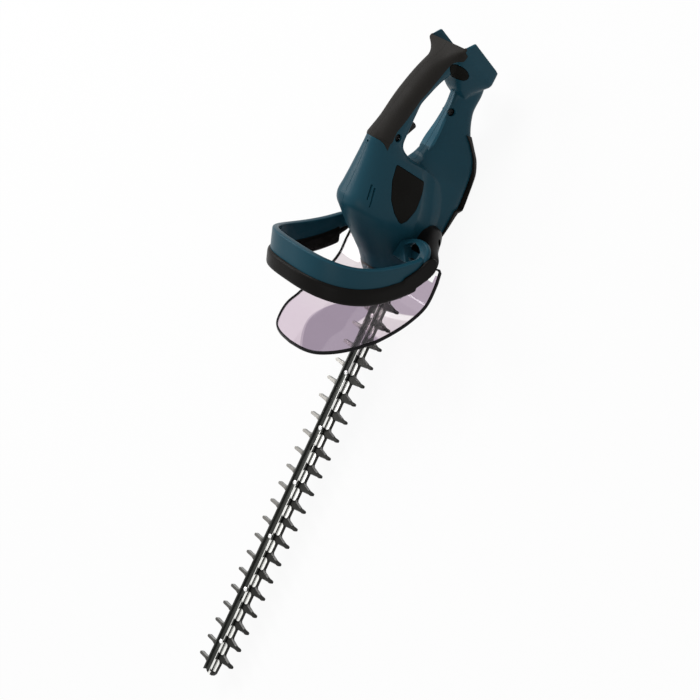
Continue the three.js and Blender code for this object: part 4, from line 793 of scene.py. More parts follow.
# The arm's flat top, with a crisp edge along it: place, height, half width
RIDGE = (
    (-297, 51, 3), (-290, 47, 4), (-276, 43.4, 4.2), (-263, 42.4, 4.4), (-240, 44, 6),
    (-226, 45.6, 8), (-214, 47.6, 9), (-204, 48.6, 9), (-197, 46, 7),
)
RIDGE_RUN, RIDGE_DROP, RIDGE_STEP = 0.5, 4.0, 4
ridge_rings = []
for x, top, half in eased(RIDGE, RIDGE_STEP):
    foot, low = half + RIDGE_RUN, top - RIDGE_DROP
    ridge_rings.append(((x, half, top), (x, -half, top), (x, -foot, low), (x, foot, low)))
joined(body_solid, loft(ridge_rings))

ROOM_POINTS, TAIL_ROOM_POINTS, ROOM_STEP = 28, 32, 12
cavity = joined(*(
    body_loft(table, WALL, count=ROOM_POINTS, step=ROOM_STEP)
    for table in (FUSELAGE_SHARES, BELLY_SHARES, GRIP_SHARES)
))
cut(cavity, body_loft(TAIL_SHARES, 0, TAIL_LEAN, TAIL_ROOM_POINTS, ROOM_STEP))

# Gear case: two drums, and blocks by their low and high corners, the last one its lugs
CRANK_X, MOTOR_X = -100.0, -128.0
CASE_RADIUS, MOTOR_RADIUS, CASE_LOW, CASE_HIGH = 29.0, 17.0, -10.2, 33.0
CASE_BLOCKS = (
    ((CRANK_X - 32, -19, CASE_LOW), (CRANK_X + 38, 19, 6)),
    ((CRANK_X, -17, CASE_LOW), (-17.5, 17, 12.5)),
    ((-50, -40.5, 11.4), (-34, 40.5, 17.5)),
)


def case_room():
    """The room that the gear case takes."""
    low, high = CASE_LOW - GAP, CASE_HIGH + GAP
    return (
        rod("z", CASE_RADIUS + GAP, low, high, (CRANK_X, 0, 0), 48),
        rod("z", MOTOR_RADIUS + GAP, low, high, (MOTOR_X, 0, 0)),
        *(roomy(*corners) for corners in CASE_BLOCKS),
    )


# Battery bay and terminal room, by half width, start and end from the rear face, bottom and top
BAY_HALF, BAY_DEPTH, BAY_LOW = 31.0, 15.0, 24.8
RAIL_START, RAIL_END, RAIL_INNER, RAIL_TOP = 9, 12, 26.0, 59.7
TERMINAL_ROOM = (15.3, 9.7, 23.3, 33.6, 58.3)
bay = tail_block(BAY_HALF, -BAY_DEPTH, BAY_DEPTH, BAY_LOW, BODY_HEIGHT)
rails = tail_block(BAY_HALF + 1, RAIL_START, RAIL_END, BAY_LOW - 1, RAIL_TOP)
cut(bay, cut(rails, tail_block(RAIL_INNER, RAIL_START - 1, RAIL_END + 1, BAY_LOW - 2, RAIL_TOP + 1)))

TRIGGER_PIN = (body_x(0.46), 0.0, body_z(0.753))
GRIP_SCREW = (body_x(0.468), 0.0, body_z(0.83))
ARM_SCREW = (body_x(0.29), 0.0, body_z(0.382))
BRACKET_SCREW = (-107.0, 0.0, 12.0)
SCREW_RADIUS, BORE_RADIUS, PIN_BORE_RADIUS = 3.6, 2.1, 1.9
RECESS_RADIUS, BRACKET_RECESS, BRACKET_SEAT, BRACKET_BORE = 5.2, 4.2, 45.7, (25, 50)
TRIGGER_ROOM = ((-25, -6.4, -20), (4.3, 6.4, 6))
trigger_room = box(*(tuple(p + c for p, c in zip(TRIGGER_PIN, corner)) for corner in TRIGGER_ROOM))


def bracket_holes(side):
    """The recess and the bore of a bracket's screw."""
    return (
        rod("y", BRACKET_RECESS, *span(side, BRACKET_SEAT, FAR + 20), BRACKET_SCREW),
        rod("y", BORE_RADIUS, *span(side, *BRACKET_BORE), BRACKET_SCREW),
    )


room = joined(cavity, bay, tail_block(*TERMINAL_ROOM), trigger_room, *case_room())
hull = cut(copied(body_solid), room)
HULL_HOLES = (
    ("y", RECESS_RADIUS, 15.2, BODY_HALF, GRIP_SCREW),
    ("y", BORE_RADIUS, -13.5, 16, GRIP_SCREW),
    ("y", RECESS_RADIUS, 4.7, BODY_HALF, ARM_SCREW),
    ("y", BORE_RADIUS, -8.5, 5, ARM_SCREW),
    ("y", PIN_BORE_RADIUS, -11.3, 11.3, TRIGGER_PIN),
    ("z", 1.6, 130, 150, (body_x(0.528), 0, 0)),
)
cut(hull, *(rod(*hole) for hole in HULL_HOLES), *bracket_holes(1), *bracket_holes(-1))

# Soft skins, each a slice of the hull's own skin, a little proud
INSERT_RISE, PAD_RISE, GRIP_RISE = 0.25, 0.5, 0.3
INSERT_FROM, INSERT_CORNER, VENT_CORNER = 12.0, 2.5, 0.7
PAD_FROM, PAD_PLACE, PAD_SHORT, PAD_LONG, PAD_LEAN, PAD_POINTS = 8.0, (0.129, 0.566), 6.3, 15.0, 0.25, 40
pad_cosine, pad_sine = math.cos(PAD_LEAN), math.sin(PAD_LEAN)
pad_outline = [(
    body_x(PAD_PLACE[0]) + PAD_SHORT * u * pad_cosine - PAD_LONG * v * pad_sine,
    body_z(PAD_PLACE[1]) + PAD_SHORT * u * pad_sine + PAD_LONG * v * pad_cosine,
) for u, v in turns(PAD_POINTS)]
insert_outline = rounded(body_points(INSERT_SHARES), INSERT_CORNER)
grip_outline = body_points(OVERMOULD_SHARES)
proud = {rise: swollen(hull, rise) for rise in (INSERT_RISE, PAD_RISE, GRIP_RISE)}
skins = (
    ("side_insert", insert_outline, INSERT_FROM, INSERT_RISE),
    ("tail_pad", pad_outline, PAD_FROM, PAD_RISE),
)
for base, outline, start, rise in skins:
    for side, name in SIDES:
        low, high = span(side, start, FAR)
        skin = common(copied(proud[rise]), prism(outline, low, high))
        piece(skin, f"soft_{base}_{name}", "tool", "grip_rubber", (f"{base}_{name}",), "insert_skin")
        cut(hull, prism(grown(outline, INSERT_GAP), low, high))
grip_skin = common(copied(proud[GRIP_RISE]), prism(grip_outline, -FAR, FAR))
cut(hull, prism(grown(grip_outline, SKIN_GAP), -FAR, FAR))
for outline in (rounded(body_points(shares), VENT_CORNER) for shares in VENT_SHARES):
    cut(hull, prism(outline, INSERT_FROM, FAR), prism(outline, -FAR, -INSERT_FROM))
drop(*proud.values())


def one_side(made, side, gap):
    """A copy of what a form has on one side of the parting plane."""
    low, high = span(side, gap, FAR)
    return common(copied(made), box((REAR, low, UNDER), (0, high, OVER)))


for side, name in SIDES:
    half = one_side(hull, side, PARTING_GAP)
    piece(half, f"shell_{name}", "tool", "housing_plastic", (f"housing_{name}",))
    half = one_side(grip_skin, side, GRIP_PARTING_GAP)
    piece(half, f"soft_grip_{name}", "tool", "grip_rubber", (f"grip_overmould_{name}",))
drop(hull, grip_skin)

# Base pad and nose cover, fitted to the housing
near_body = swollen(body_solid, GAP)
pad = common(body_loft(PAD_RING_SHARES), prism(body_points(PAD_SHARES), -FAR, FAR))
cut(pad, box((REAR, -FAR, UNDER), (0, FAR, BODY_SOLE)), copied(near_body), *case_room())
piece(pad, "base_skin", "tool", "grip_rubber", ("base_pad",))

NOSE_SHARES = ((-0.3, 1.2, 1.02), (0, 1, 1), (0.3, 0.78, 0.9), (0.6, 0.52, 0.78), (1, 0.2, 0.62))
NOSE_REAR, NOSE_LENGTH, NOSE_HEIGHT, NOSE_HALF, SNOUT_TOP = body_x(1.038), 22.0, 37.2, 28.6, 12.5
NOSE_POINTS, NOSE_STEP, NOSE_ROUNDNESS, NOSE_NARROWING = 64, 0.1, 0.8, 0.3


def nose_block(spread):
    rings = []
    for place, top, half in eased(NOSE_SHARES, NOSE_STEP):
        low, high = SNOUT_TOP + GAP - spread, SNOUT_TOP + top * NOSE_HEIGHT + spread
        x = NOSE_REAR + place * NOSE_LENGTH
        ring = []
        for u, v in turns(NOSE_POINTS):
            rise = powered(v, NOSE_ROUNDNESS)
            width = (half * NOSE_HALF + spread) * (1 - NOSE_NARROWING * max(0, rise))
            ring.append((x, width * powered(u, NOSE_ROUNDNESS), (low + high) / 2 + (high - low) / 2 * rise))
        rings.append(ring)
    rings[-1] = [(x + spread, y, z) for x, y, z in rings[-1]]
    return loft(rings)


nose = cut(nose_block(0), copied(near_body), roomy(*CASE_BLOCKS[-1]))
piece(nose, "nose_skin", "tool", "black_plastic", ("nose_cover",))

# Trigger and screws
TRIGGER_SHARES = (
    (0.158, 0.17), (0.158, -0.33), (-0.29, -0.58), (-0.71, -0.85), (-0.85, -0.67), (-0.917, -0.33), (-0.917, 0.17),
)
TRIGGER_SIZE, TRIGGER_HALF, TRIGGER_CORNER, TRIGGER_BEVEL = 24.0, 5.8, 3.0, 1.2
trigger_points = [(TRIGGER_PIN[0] + u * TRIGGER_SIZE, TRIGGER_PIN[2] + w * TRIGGER_SIZE) for u, w in TRIGGER_SHARES]
trigger = prism(rounded(trigger_points, TRIGGER_CORNER), -TRIGGER_HALF, TRIGGER_HALF)
trigger = cut(bevelled(trigger, TRIGGER_BEVEL, 3), rod("y", PIN_BORE_RADIUS, -20, 20, TRIGGER_PIN))
piece(trigger, "finger_trigger", "trigger", "black_plastic", ("rear_trigger",))

# Pan heads, by share of the full radius and height over the seat, and their cross recess
HEAD_PROFILE = ((1, 0), (1, 1.3), (0.82, 2.0), (0.45, 2.4))
SHANK_RADIUS, SHANK_STEP, SCREW_SIDES = 1.8, 0.2, 28
CROSS_REACH, CROSS_HALF, CROSS_FLOOR, CROSS_TOP = 2.1, 0.45, 0.9, 2.6


def cross(first, second, low, high, axis):
    """The two slots of a cross recess."""
    return [
        prism([(first + u * reach, second + w * half) for u, w in SQUARE], low, high, axis)
        for reach, half in ((CROSS_REACH, CROSS_HALF), (CROSS_HALF, CROSS_REACH))
    ]


def cross_screw(name, node, centre, seat, tip, side=1):
    """A pan head screw with a cross recess, along Y."""
    profile = [(SHANK_RADIUS, side * tip), (SHANK_RADIUS, side * (seat - SHANK_STEP))]
    profile += [(SCREW_RADIUS * share, side * (seat + height)) for share, height in HEAD_PROFILE]
    made = lathe(profile, centre, "y", SCREW_SIDES)
    cut(made, *cross(centre[0], centre[2], *span(side, seat + CROSS_FLOOR, seat + CROSS_TOP), "y"))
    piece(made, name, "tool", "steel", (node,), "dark_steel")


cross_screw("grip_cross_screw", "grip_screw", GRIP_SCREW, 15.5, -13)
cross_screw("arm_cross_screw", "arm_screw", ARM_SCREW, 5, -8)
for side, name in SIDES:
    cross_screw(f"bracket_cross_screw_{name}", f"handle_screw_{name}", BRACKET_SCREW, 46, 30.5, side)

# Front handle: a rounded band swept round an arch whose rear rim leans forward
HANDLE_HALF, HANDLE_TOP, HANDLE_SHOULDER = 79.5, 182.0, 82.0
ARCH_STEPS, ARCH_POWER = 26, 0.72
CURL_Z, CURL_RADIUS, CURL_END, CURL_STEPS, CURL_RISES = 43.0, 15.0, 30.0, 8, (8, 16)
RIM_TOP, RIM_SWEEP = -46.0, 45.0
BAND_LEAN = math.radians(22)
DEPTH_WAY = Vector((math.cos(BAND_LEAN), 0, -math.sin(BAND_LEAN)))
BAND_DEPTH, BAND_GAIN, BAND_POWER = 34, 16, 0.5
FRAME_DEPTH, FRAME_GAIN, FRAME_POWER = 9, 18, 0.45
BAND_HALF, LEVER_SPARE, LEVER_WALL, LEVER_LAP, LEVER_TRAVEL = 4.0, 0.6, 2.6, 5.0, 6.0
BAND_CORNER, LEVER_CORNER, CHANNEL_CORNER, CORNER_STEPS = 2.2, 5.2, 0.6, 5
PIVOT_X, PIVOT_Z = -73.0, 30.5
PIVOT = (PIVOT_X, 0, PIVOT_Z)
PIN_RADIUS, PIN_TIP, PIN_TAPER, PIN_INNER, PIN_OUTER, PIN_SIDES = 2.0, 1.4, 0.6, 67.0, 85.0, 24


def rise_share(z):
    return min(1.0, max(0.0, (z - CURL_Z) / (HANDLE_TOP - CURL_Z)))


def rim_x(z):
    return RIM_TOP - RIM_SWEEP * (1 - rise_share(z)) ** 2


def band_depth(z):
    return BAND_DEPTH + BAND_GAIN * rise_share(z) ** BAND_POWER


def frame_depth(z):
    return FRAME_DEPTH + FRAME_GAIN * rise_share(z) ** FRAME_POWER


def arch_path(low_end):
    """The handle's rear rim, from a low end over the top to the other low end."""
    half = list(low_end)
    for k in range(ARCH_STEPS + 1):
        angle = math.pi * k / (2 * ARCH_STEPS)
        out = math.cos(angle) ** ARCH_POWER if k < ARCH_STEPS else 0
        up = math.sin(angle) ** ARCH_POWER
        half.append((HANDLE_HALF * out, HANDLE_SHOULDER + (HANDLE_TOP - HANDLE_SHOULDER) * up))
    whole = half + [(-y, z) for y, z in half[-2::-1]]
    return [Vector((rim_x(z), y, z)) for y, z in whole]


def curl_points():
    """The band's low end, curled in towards the body."""
    turn_y = HANDLE_HALF - CURL_RADIUS
    turn = []
    for k in range(CURL_STEPS + 1):
        angle = math.pi * k / (2 * CURL_STEPS)
        turn.append((turn_y + CURL_RADIUS * math.sin(angle), CURL_Z + CURL_RADIUS * (1 - math.cos(angle))))
    straight = [(turn[-1][0], turn[-1][1] + step) for step in CURL_RISES]
    return [(CURL_END, CURL_Z), ((CURL_END + turn_y) / 2, CURL_Z), *turn, *straight]


def band(path, start, end, half, radius):
    """A band with rounded corners, swept along a path between two depths that change with height."""
    rings = []
    for k, point in enumerate(path):
        along = (path[min(k + 1, len(path) - 1)] - path[max(k - 1, 0)]).normalized()
        outward = along.cross(DEPTH_WAY).normalized()
        low, high = start(point.z), end(point.z)
        section = rounded(((low, half), (high, half), (high, -half), (low, -half)), radius, CORNER_STEPS)
        rings.append([tuple(point + DEPTH_WAY * depth + outward * side) for depth, side in section])
    return loft(rings)


def frame_band(spread):
    return band(
        arch_path(curl_points()),
        lambda z: -spread,
        lambda z: frame_depth(z) + LEVER_LAP + spread,
        BAND_HALF + spread,
        BAND_CORNER,
    )


def pin_way(side):
    return rod("y", PIN_RADIUS + GAP, *span(side, PIN_INNER - GAP, PIN_OUTER + GAP), PIVOT, PIN_SIDES)


# The band's ends run on into flanges with a pocket, towards the body
FLANGE_SHARES = (
    (-0.24, 0.3), (-0.28, 0.48), (-0.35, 0.61), (-0.39, 0.73), (-0.4, 0.83), (-0.385, 0.925),
    (-0.325, 1.02), (-0.24, 1.05), (-0.1, 1.05), (0, 0.9), (0.03, 0.664), (0.03, 0.3),
)
POCKET_SHARES = ((-0.2, 0.5), (-0.325, 0.69), (-0.285, 0.83), (-0.22, 0.9), (-0.1, 0.87), (0.02, 0.7))
FLANGE_LOW, FLANGE_HIGH, FLANGE_CORNER, FLANGE_BEVEL = 43.0, 50.0, 4.0, 2.2
POCKET_LOW, POCKET_HIGH, POCKET_CORNER = 37.0, 90.0, 3.0


def handle_points(shares):
    return [(PIVOT_X + u * HANDLE_HALF, w * HANDLE_HALF) for u, w in shares]


def flange(spread):
    outline = rounded(grown(handle_points(FLANGE_SHARES), spread), FLANGE_CORNER)
    return bevelled(prism(outline, FLANGE_LOW - spread, FLANGE_HIGH + spread, "z"), FLANGE_BEVEL, 3)


pocket = prism(rounded(handle_points(POCKET_SHARES), POCKET_CORNER), POCKET_LOW, POCKET_HIGH, "z")
handle_band = joined(frame_band(0), *both(flange(0)))
cut(handle_band, *both(pocket), copied(near_body))
piece(handle_band, "handle_band", "tool", "housing_plastic", ("front_handle_frame",))

# Switch lever, with an ear over each end of the handle
EAR_SHARES = (
    (1.23, 0.915), (0.81, 0.51), (0.36, 0.12), (0.04, -0.06), (-0.21, -0.14), (-0.47, -0.085), (-0.72, 0.06),
    (-0.81, 0.32), (-0.64, 0.66), (-0.33, 0.83), (0.085, 1.1), (0.43, 1.43), (0.72, 1.72), (1.23, 1.51),
)
EAR_SIZE, EAR_CORNER, EAR_OUTER, LEVER_END_HEIGHTS = 23.5, 5.0, 86.7, (58, 66, 74)
LEVER_HALF = BAND_HALF + LEVER_SPARE + LEVER_WALL
ear_points = rounded([(PIVOT_X + u * EAR_SIZE, PIVOT_Z + w * EAR_SIZE) for u, w in EAR_SHARES], EAR_CORNER)
lever_path = arch_path([(HANDLE_HALF, z) for z in LEVER_END_HEIGHTS])
lever = band(lever_path, frame_depth, band_depth, LEVER_HALF, LEVER_CORNER)
for side, _ in SIDES:
    joined(lever, prism(ear_points, *span(side, HANDLE_HALF, EAR_OUTER)))
lever = remeshed(lever)
channel = band(
    arch_path(curl_points()),
    lambda z: frame_depth(z) - LEVER_TRAVEL,
    lambda z: frame_depth(z) + LEVER_LAP + LEVER_TRAVEL,
    BAND_HALF + LEVER_SPARE,
    CHANNEL_CORNER,
)
cut(lever, channel, frame_band(LEVER_SPARE), *both(flange(GAP)), pin_way(1), pin_way(-1))
piece(lever, "handle_lever", "switch_lever", "grip_rubber", ("front_switch_lever",), "lever_black")
for side, name in SIDES:
    low, high = span(side, PIN_INNER, PIN_OUTER)
    profile = ((PIN_TIP, low), (PIN_RADIUS, low + PIN_TAPER), (PIN_RADIUS, high - PIN_TAPER), (PIN_TIP, high))
    piece(lathe(profile, PIVOT, "y", PIN_SIDES), f"pivot_pin_{name}", "tool", "steel", (f"lever_pin_{name}",))

# Brackets that carry the handle, grown out of the body's sides
BRACKET_SHARES = (
    (0.36, -0.31, -0.23, 0.33, 0.21),
    (0.53, -0.31, -0.235, 0.3, 0.205),
    (0.69, -0.24, -0.15, 0.25, 0.17),
    (0.855, -0.148, -0.06, 0.2, 0.13),
    (1, -0.085, -0.015, 0.165, 0.105),
)
BRACKET_POINTS, BRACKET_STEP, BRACKET_ROUNDNESS = 56, 0.04, 0.8
BRACKET_CROWN = ((0.93, 0.8), (0.8, 1.3))
SWITCH_ROOM = ((-95.3, 20, 14.7), (-80.7, 47.8, 26.3))
bracket_rings = [[(
    PIVOT_X + HANDLE_HALF * (x + half_x * powered(u, BRACKET_ROUNDNESS)),
    place * HANDLE_HALF,
    PIVOT_Z + HANDLE_HALF * (z + half_z * powered(v, BRACKET_ROUNDNESS)),
) for u, v in turns(BRACKET_POINTS)] for place, x, z, half_x, half_z in eased(BRACKET_SHARES, BRACKET_STEP)]
last = bracket_rings[-1]
middle = [sum(values) / len(last) for values in zip(*last)]
for shrink, step in BRACKET_CROWN:
    ring = [tuple(m + (p - m) * shrink for p, m in zip(point, middle)) for point in last]
    bracket_rings.append([(x, y + step, z) for x, y, z in ring])
bracket = cut(loft(bracket_rings), copied(near_body), frame_band(GAP), pin_way(1), *bracket_holes(1))
right_bracket = mirrored(bracket)
cut(bracket, box(*SWITCH_ROOM))
piece(bracket, "bracket_left", "tool", "black_plastic", ("handle_bracket_left",))
piece(right_bracket, "bracket_right", "tool", "black_plastic", ("handle_bracket_right",))

# Guard: a clear scoop with a dark rolled rim
GUARD_PROFILE_SHARES = (
    (-0.06, 0), (0.12, 0), (0.22, 0), (0.27, 0.008), (0.361, 0.06), (0.51, 0.2), (0.673, 0.42), (0.803, 0.65),
    (0.912, 0.83), (1.03, 1.05),
)
GUARD_PLAN_SHARES = (
    (0, 0.94), (0.03, 0.985), (0.116, 1), (0.211, 1), (0.361, 0.978), (0.52, 0.94), (0.673, 0.888), (0.721, 0.854),
    (0.803, 0.787), (0.891, 0.652), (0.959, 0.478), (0.99, 0.27), (1, 0.0),
)
GUARD_REAR, GUARD_RUN, GUARD_FLAT, GUARD_RISE, GUARD_HALF = -72.0, 147.0, 19.0, 100.0, 89.0
GUARD_THICKNESS, GUARD_COLUMNS, GUARD_PROFILE_STEPS, GUARD_PLAN_STEPS = 2.5, 44, 12, 5
GUARD_NOTCH = ((-90, -82, 0), (-62, 82, 60))
GUARD_BODY_GAP, GUARD_NOSE_GAP = 0.9, 0.8
GUARD_SCREW_X, GUARD_SCREW_Y = -42, 36
GUARD_SCREW_PROFILE = (
    (SHANK_RADIUS, 11.8), (SHANK_RADIUS, 20.5), (SCREW_RADIUS, 20.6), (SCREW_RADIUS, 21.9),
    (3.0, 22.6), (1.6, 23.0),
)
GUARD_CROSS = (21.6, 24)
SLOPE_STEP = 0.002
guard_line = through(GUARD_PROFILE_SHARES, GUARD_PROFILE_STEPS)


def guard_height(share):
    for (u, w), (next_u, next_w) in zip(guard_line, guard_line[1:]):
        if u <= share <= next_u:
            return w + (next_w - w) * (share - u) / (next_u - u)
    return guard_line[-1][1]


def guard_point(place, across, lift):
    """A point of the guard's sheet, by shares of its length and half width, with a lift along its normal."""
    run = GUARD_RUN * SLOPE_STEP * 2
    rise = GUARD_RISE * (guard_height(place + SLOPE_STEP) - guard_height(place - SLOPE_STEP))
    length = math.hypot(run, rise)
    x = GUARD_REAR + GUARD_RUN * place - lift * rise / length
    z = GUARD_FLAT + GUARD_RISE * guard_height(place) + lift * run / length
    return (x, across * GUARD_HALF, z)


plan = [row for row in through(GUARD_PLAN_SHARES, GUARD_PLAN_STEPS) if 0 <= row[0] <= 1 and row[1] >= 0]
guard_rings = []
for place, half in plan[:-1]:
    shares = [half * (2 * k / GUARD_COLUMNS - 1) for k in range(GUARD_COLUMNS + 1)]
    top = [guard_point(place, share, GUARD_THICKNESS / 2) for share in shares]
    under = [guard_point(place, share, -GUARD_THICKNESS / 2) for share in reversed(shares)]
    guard_rings.append(top + under)
guard = loft(guard_rings)
cut(guard, box(*GUARD_NOTCH), swollen(body_solid, GUARD_BODY_GAP), nose_block(GUARD_NOSE_GAP))
for side, _ in SIDES:
    cut(guard, rod("z", BORE_RADIUS, 0, 60, (GUARD_SCREW_X, side * GUARD_SCREW_Y, 0), 20))
piece(guard, "clear_guard", "tool", "clear_plastic", ("guard_plate",))

# The rim runs round the sheet's edge, between hooks at its rear corners
RIM_CORNER = ((-79.5, 84.5, 27.5), (-80.5, 88, 25.5), (-78, 89, 22.5))
RIM_START, RIM_HALF, RIM_LIFT, RIM_RADIUS = 0.02, 1.25, 2.3, 1.1
rim_section = rounded([(u * RIM_HALF, w * RIM_LIFT) for u, w in SQUARE[::-1]], RIM_RADIUS)
near_edge = [(place, half) for place, half in plan if place > RIM_START]
far_edge = [(place, -half) for place, half in reversed(near_edge[:-1])]
edge = [
    *RIM_CORNER,
    *(guard_point(place, half, 0) for place, half in near_edge + far_edge),
    *((x, -y, z) for x, y, z in reversed(RIM_CORNER)),
]
rim_rings = []
for k, point in enumerate(edge):
    here = Vector(point)
    along = (Vector(edge[min(k + 1, len(edge) - 1)]) - Vector(edge[max(k - 1, 0)])).normalized()
    place = min(max((here.x - GUARD_REAR) / GUARD_RUN, 0.0), 0.999)
    lifted = (Vector(guard_point(place, 0, 1)) - Vector(guard_point(place, 0, 0))).normalized()
    outward = along.cross(lifted).normalized()
    rim_rings.append([tuple(here + outward * side + lifted * lift) for side, lift in rim_section])
piece(loft(rim_rings), "guard_rim", "tool", "clear_plastic", (), "rim_black")
for side, name in SIDES:
    x, y = GUARD_SCREW_X, side * GUARD_SCREW_Y
    screw = cut(lathe(GUARD_SCREW_PROFILE, (x, y, 0), "z", SCREW_SIDES), *cross(x, y, *GUARD_CROSS, "z"))
    piece(screw, f"guard_cross_screw_{name}", "tool", "steel", (f"guard_screw_{name}",), "dark_steel")

# Blades: ground teeth on both sides of a slotted spine, with a yoke round the crank
TOOTH_PITCH, TOOTH_COUNT, FIRST_TOOTH, STAGGER = 26.0, 21, -2.0, 0.6
TOOTH_BASE, TOOTH_REACH = 10.6, 32.0
SPINE_HALF, SPINE_START, SPINE_NEAR, SPINE_FAR = 9.5, -72.1, -14.0, 4.0
YOKE_REACH, YOKE_HALF, WINDOW_REACH, WINDOW_HALF = 22.0, 15.4, 18.4, 12.0
BLADE_TIP = 548.0
TIP_CORNERS = ((6, SPINE_HALF), (1.5, 6.5), (0, 0), (1.5, -6.5), (6, -SPINE_HALF))
BOLT_PLACES = [17.5 + 80 * k for k in range(7)]
BOLT_SLOT, SLOT_STEPS, CUT_REACH = (18, 5.4), 8, 12
UPPER, LOWER = (0.15, 2.55), (-2.55, -0.15)

# Teeth by half width, share of the reach and bevel width
NEAR_TOOTH_SHARES = (
    (6.6, 0, 0), (5.7, 0.08, 1.3), (3.4, 0.6, 1.6), (2.5, 0.7, 0.6), (2.4, 0.92, 0.35), (1.5, 1, 0.3),
)
FAR_TOOTH_SHARES = (
    (6.0, 0, 0), (4.6, 0.1, 1.2), (3.1, 0.4, 1.2), (2.6, 0.7, 0.6), (2.4, 0.92, 0.35), (1.5, 1, 0.3),
)


def tooth(x, side, ground):
    """Outline points of one tooth, its flanks ground back by a share of their full bevel."""
    rising, falling = [], []
    for half, share, bevel_width in NEAR_TOOTH_SHARES if side > 0 else FAR_TOOTH_SHARES:
        reach = side * (TOOTH_BASE + (TOOTH_REACH - TOOTH_BASE) * share)
        width = half - bevel_width * ground
        rising.append((x - width, reach))
        falling.append((x + width, reach))
    return rising + falling[::-1]


def blade_outline(ground):
    near, far = (
        [point for k in range(TOOTH_COUNT) for point in tooth(start + k * TOOTH_PITCH, side, ground)]
        for start, side in ((FIRST_TOOTH, 1), (FIRST_TOOTH + TOOTH_PITCH * STAGGER, -1))
    )
    yoke = ((CRANK_X - YOKE_REACH, YOKE_HALF), (CRANK_X + YOKE_REACH, YOKE_HALF), (SPINE_START, SPINE_HALF))
    tip = [(BLADE_TIP - step, half) for step, half in TIP_CORNERS]
    return [
        *yoke, (SPINE_NEAR, SPINE_HALF), *near, *tip,
        *far[::-1], (SPINE_FAR, -SPINE_HALF), *((x, -half) for x, half in yoke[::-1]),
    ]


def slot(x, length, width):
    """The form that cuts a slot with round ends, along X."""
    run, radius = (length - width) / 2, width / 2
    outline = []
    for centre, start in ((x + run, -90), (x - run, 90)):
        for k in range(SLOT_STEPS + 1):
            angle = math.radians(start + k * 180 / SLOT_STEPS)
            outline.append((centre + radius * math.cos(angle), radius * math.sin(angle)))
    return prism(outline, -CUT_REACH, CUT_REACH, "z")


def blade(heights, grounds):
    """A blade between two heights, its flanks ground back at one of them."""
    made = loft([[(*point, z) for point in blade_outline(ground)] for z, ground in zip(heights, grounds)])
    corners = [(CRANK_X + u * WINDOW_REACH, w * WINDOW_HALF) for u, w in SQUARE]
    return cut(made, prism(corners, -CUT_REACH, CUT_REACH, "z"), *(slot(x, *BOLT_SLOT) for x in BOLT_PLACES))


piece(blade(UPPER, (0, 1)), "cutter_upper", "upper_cutter", "blade_steel", ("upper_blade",), "upper_steel")
piece(blade(LOWER, (1, 0)), "cutter_lower", "lower_cutter", "blade_steel", ("lower_blade",), "lower_steel")

# Guide bar with its stiffening rib, and the bolts through it
BAR_LOW, BAR_HIGH, RIB_HIGH, BAR_NEAR, BAR_FAR = 2.85, 6.05, 9.05, 4.0, 7.5
BAR_SECTION = (
    (-BAR_FAR, BAR_LOW), (BAR_NEAR, BAR_LOW), (BAR_NEAR, 4.9), (1.9, BAR_HIGH),
    (-BAR_FAR + 2, BAR_HIGH), (-BAR_FAR + 2, RIB_HIGH), (-BAR_FAR, RIB_HIGH),
)
BAR_START, BAR_END, BAR_SLANT = -62.0, 544.0, 3.0
bar = loft([
    [(BAR_START, y, z) for y, z in BAR_SECTION],
    [(BAR_END - BAR_SLANT * (y + BAR_FAR) / (BAR_NEAR + BAR_FAR), y, z) for y, z in BAR_SECTION],
])
BAR_SLOT_PLACES, BAR_SLOT, BAR_BORE_RADIUS, BAR_BEVEL = (207, 433), (9, 3), 2.5, 0.45
cut(bar, *(slot(x, *BAR_SLOT) for x in BAR_SLOT_PLACES))
cut(bar, *(rod("z", BAR_BORE_RADIUS, 0, CUT_REACH, (x, 0, 0), 24) for x in BOLT_PLACES))
piece(bevelled(bar, BAR_BEVEL, 2), "stiffening_bar", "tool", "blade_steel", ("guide_bar",), "bar_steel")
BOLT_PROFILE = (
    (2.4, -5.25), (3.6, -5.1), (3.6, -3.1), (2.2, -2.85), (2.2, 6.3), (3.2, 6.35), (3.4, 6.7), (3.3, 7.4),
    (2.7, 8.0), (1.7, 8.3), (1.5, 7.4),
)
for k, x in enumerate(BOLT_PLACES, 1):
    bolt = lathe(BOLT_PROFILE, (x, 0, 0), "z", 30)
    piece(bolt, f"through_bolt_{k}", "tool", "blade_steel", (f"blade_bolt_{k}",), "bolt_steel")
drop(near_body, body_solid)

# Camera
camera_data = bpy.data.cameras.new("camera")
camera_data.lens = CAMERA_LENS
camera_data.sensor_width = SENSOR_WIDTH
camera_data.clip_end = 50
camera = bpy.data.objects.new("camera", camera_data)
bpy.context.scene.collection.objects.link(camera)
backward = CAMERA_RIGHT.cross(CAMERA_UP).normalized()
turn = Matrix((CAMERA_RIGHT, CAMERA_UP, backward)).transposed()
camera.matrix_world = Matrix.Translation(CAMERA_PLACE) @ turn.to_4x4()
bpy.context.scene.camera = camera


def area_lamp(name, place, aim, size, power):
    data = bpy.data.lights.new(name, "AREA")
    data.shape = "DISK"
    data.size = size
    data.energy = power
    lamp = bpy.data.objects.new(name, data)
    lamp.location = place
    lamp.rotation_euler = (Vector(aim) - Vector(place)).to_track_quat("-Z", "Y").to_euler()
    bpy.context.scene.collection.objects.link(lamp)


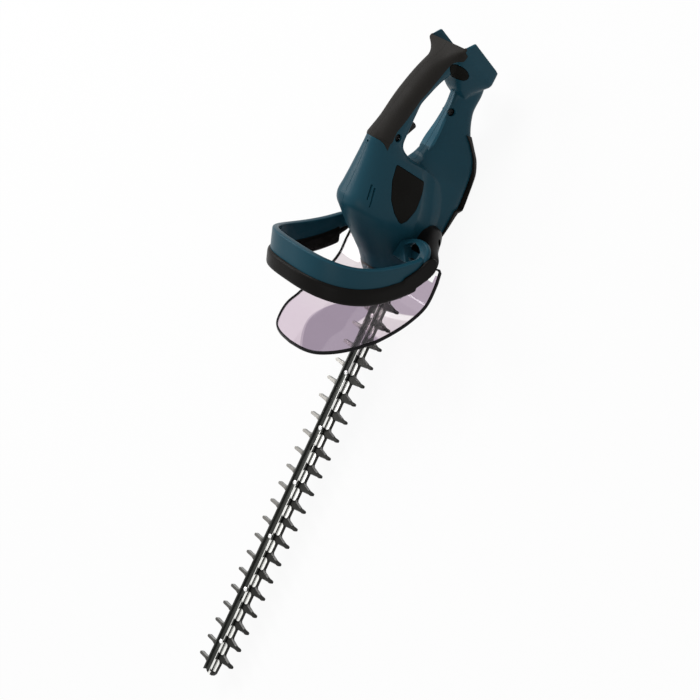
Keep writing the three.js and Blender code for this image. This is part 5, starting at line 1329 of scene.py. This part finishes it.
area_lamp("key", (-1.4, -0.9, 2.3), (0, 0, 0.05), 1.4, 48)
area_lamp("rim", (0.2, -2.3, 2.2), (0, 0, 0.05), 1.2, 34)
area_lamp("fill", (1.6, 2.2, 2.2), (0.1, 0, 0.05), 2.2, 16)


# Studio: how bright the surroundings and the floor are, and how white where they are seen
WORLD_TONE, FLOOR_TONE, FLOOR_WHITE, FLOOR_ROUGHNESS, FLOOR_REACH = 0.42, 0.7, 0.93, 0.9, 6


def seen_rays(tree):
    """One for what the camera sees directly, in gloss or through glass, and nought for other rays."""
    outputs = add_node(tree, "ShaderNodeLightPath").outputs
    direct = Field(tree, outputs["Is Camera Ray"]).worked("MAXIMUM", Field(tree, outputs["Is Glossy Ray"]))
    return direct.worked("MAXIMUM", Field(tree, outputs["Is Transmission Ray"]))


world = bpy.data.worlds.new("studio")
world.use_nodes = True
bpy.context.scene.world = world
background = world.node_tree.nodes["Background"]
background.inputs["Color"].default_value = (1, 1, 1, 1)
strength = seen_rays(world.node_tree).ramp(WORLD_TONE, 1.0, 0, 1)
world.node_tree.links.new(strength.socket, background.inputs["Strength"])

floor_mesh = bpy.data.meshes.new("floor")
floor_mesh.from_pydata([(u * FLOOR_REACH, w * FLOOR_REACH, 0) for u, w in SQUARE], [], [(0, 1, 2, 3)])
floor = new_object("floor", floor_mesh)
floor_finish = Finish("floor")
floor_finish.fix("Base Color", (FLOOR_TONE, FLOOR_TONE, FLOOR_TONE, 1))
floor_finish.fix("Roughness", FLOOR_ROUGHNESS)
shown = add_node(floor_finish.tree, "ShaderNodeMixShader")
floor_finish.link((seen_rays(floor_finish.tree) * FLOOR_WHITE).socket, shown, 0)
floor_finish.link(floor_finish.shader.outputs[0], shown, 1)
floor_finish.link(add_node(floor_finish.tree, "ShaderNodeEmission").outputs[0], shown, 2)
floor_finish.link(shown.outputs[0], floor_finish.tree.nodes["Material Output"], "Surface")
floor_mesh.materials.append(floor_finish.material)

bpy.context.scene.view_settings.view_transform = "Standard"
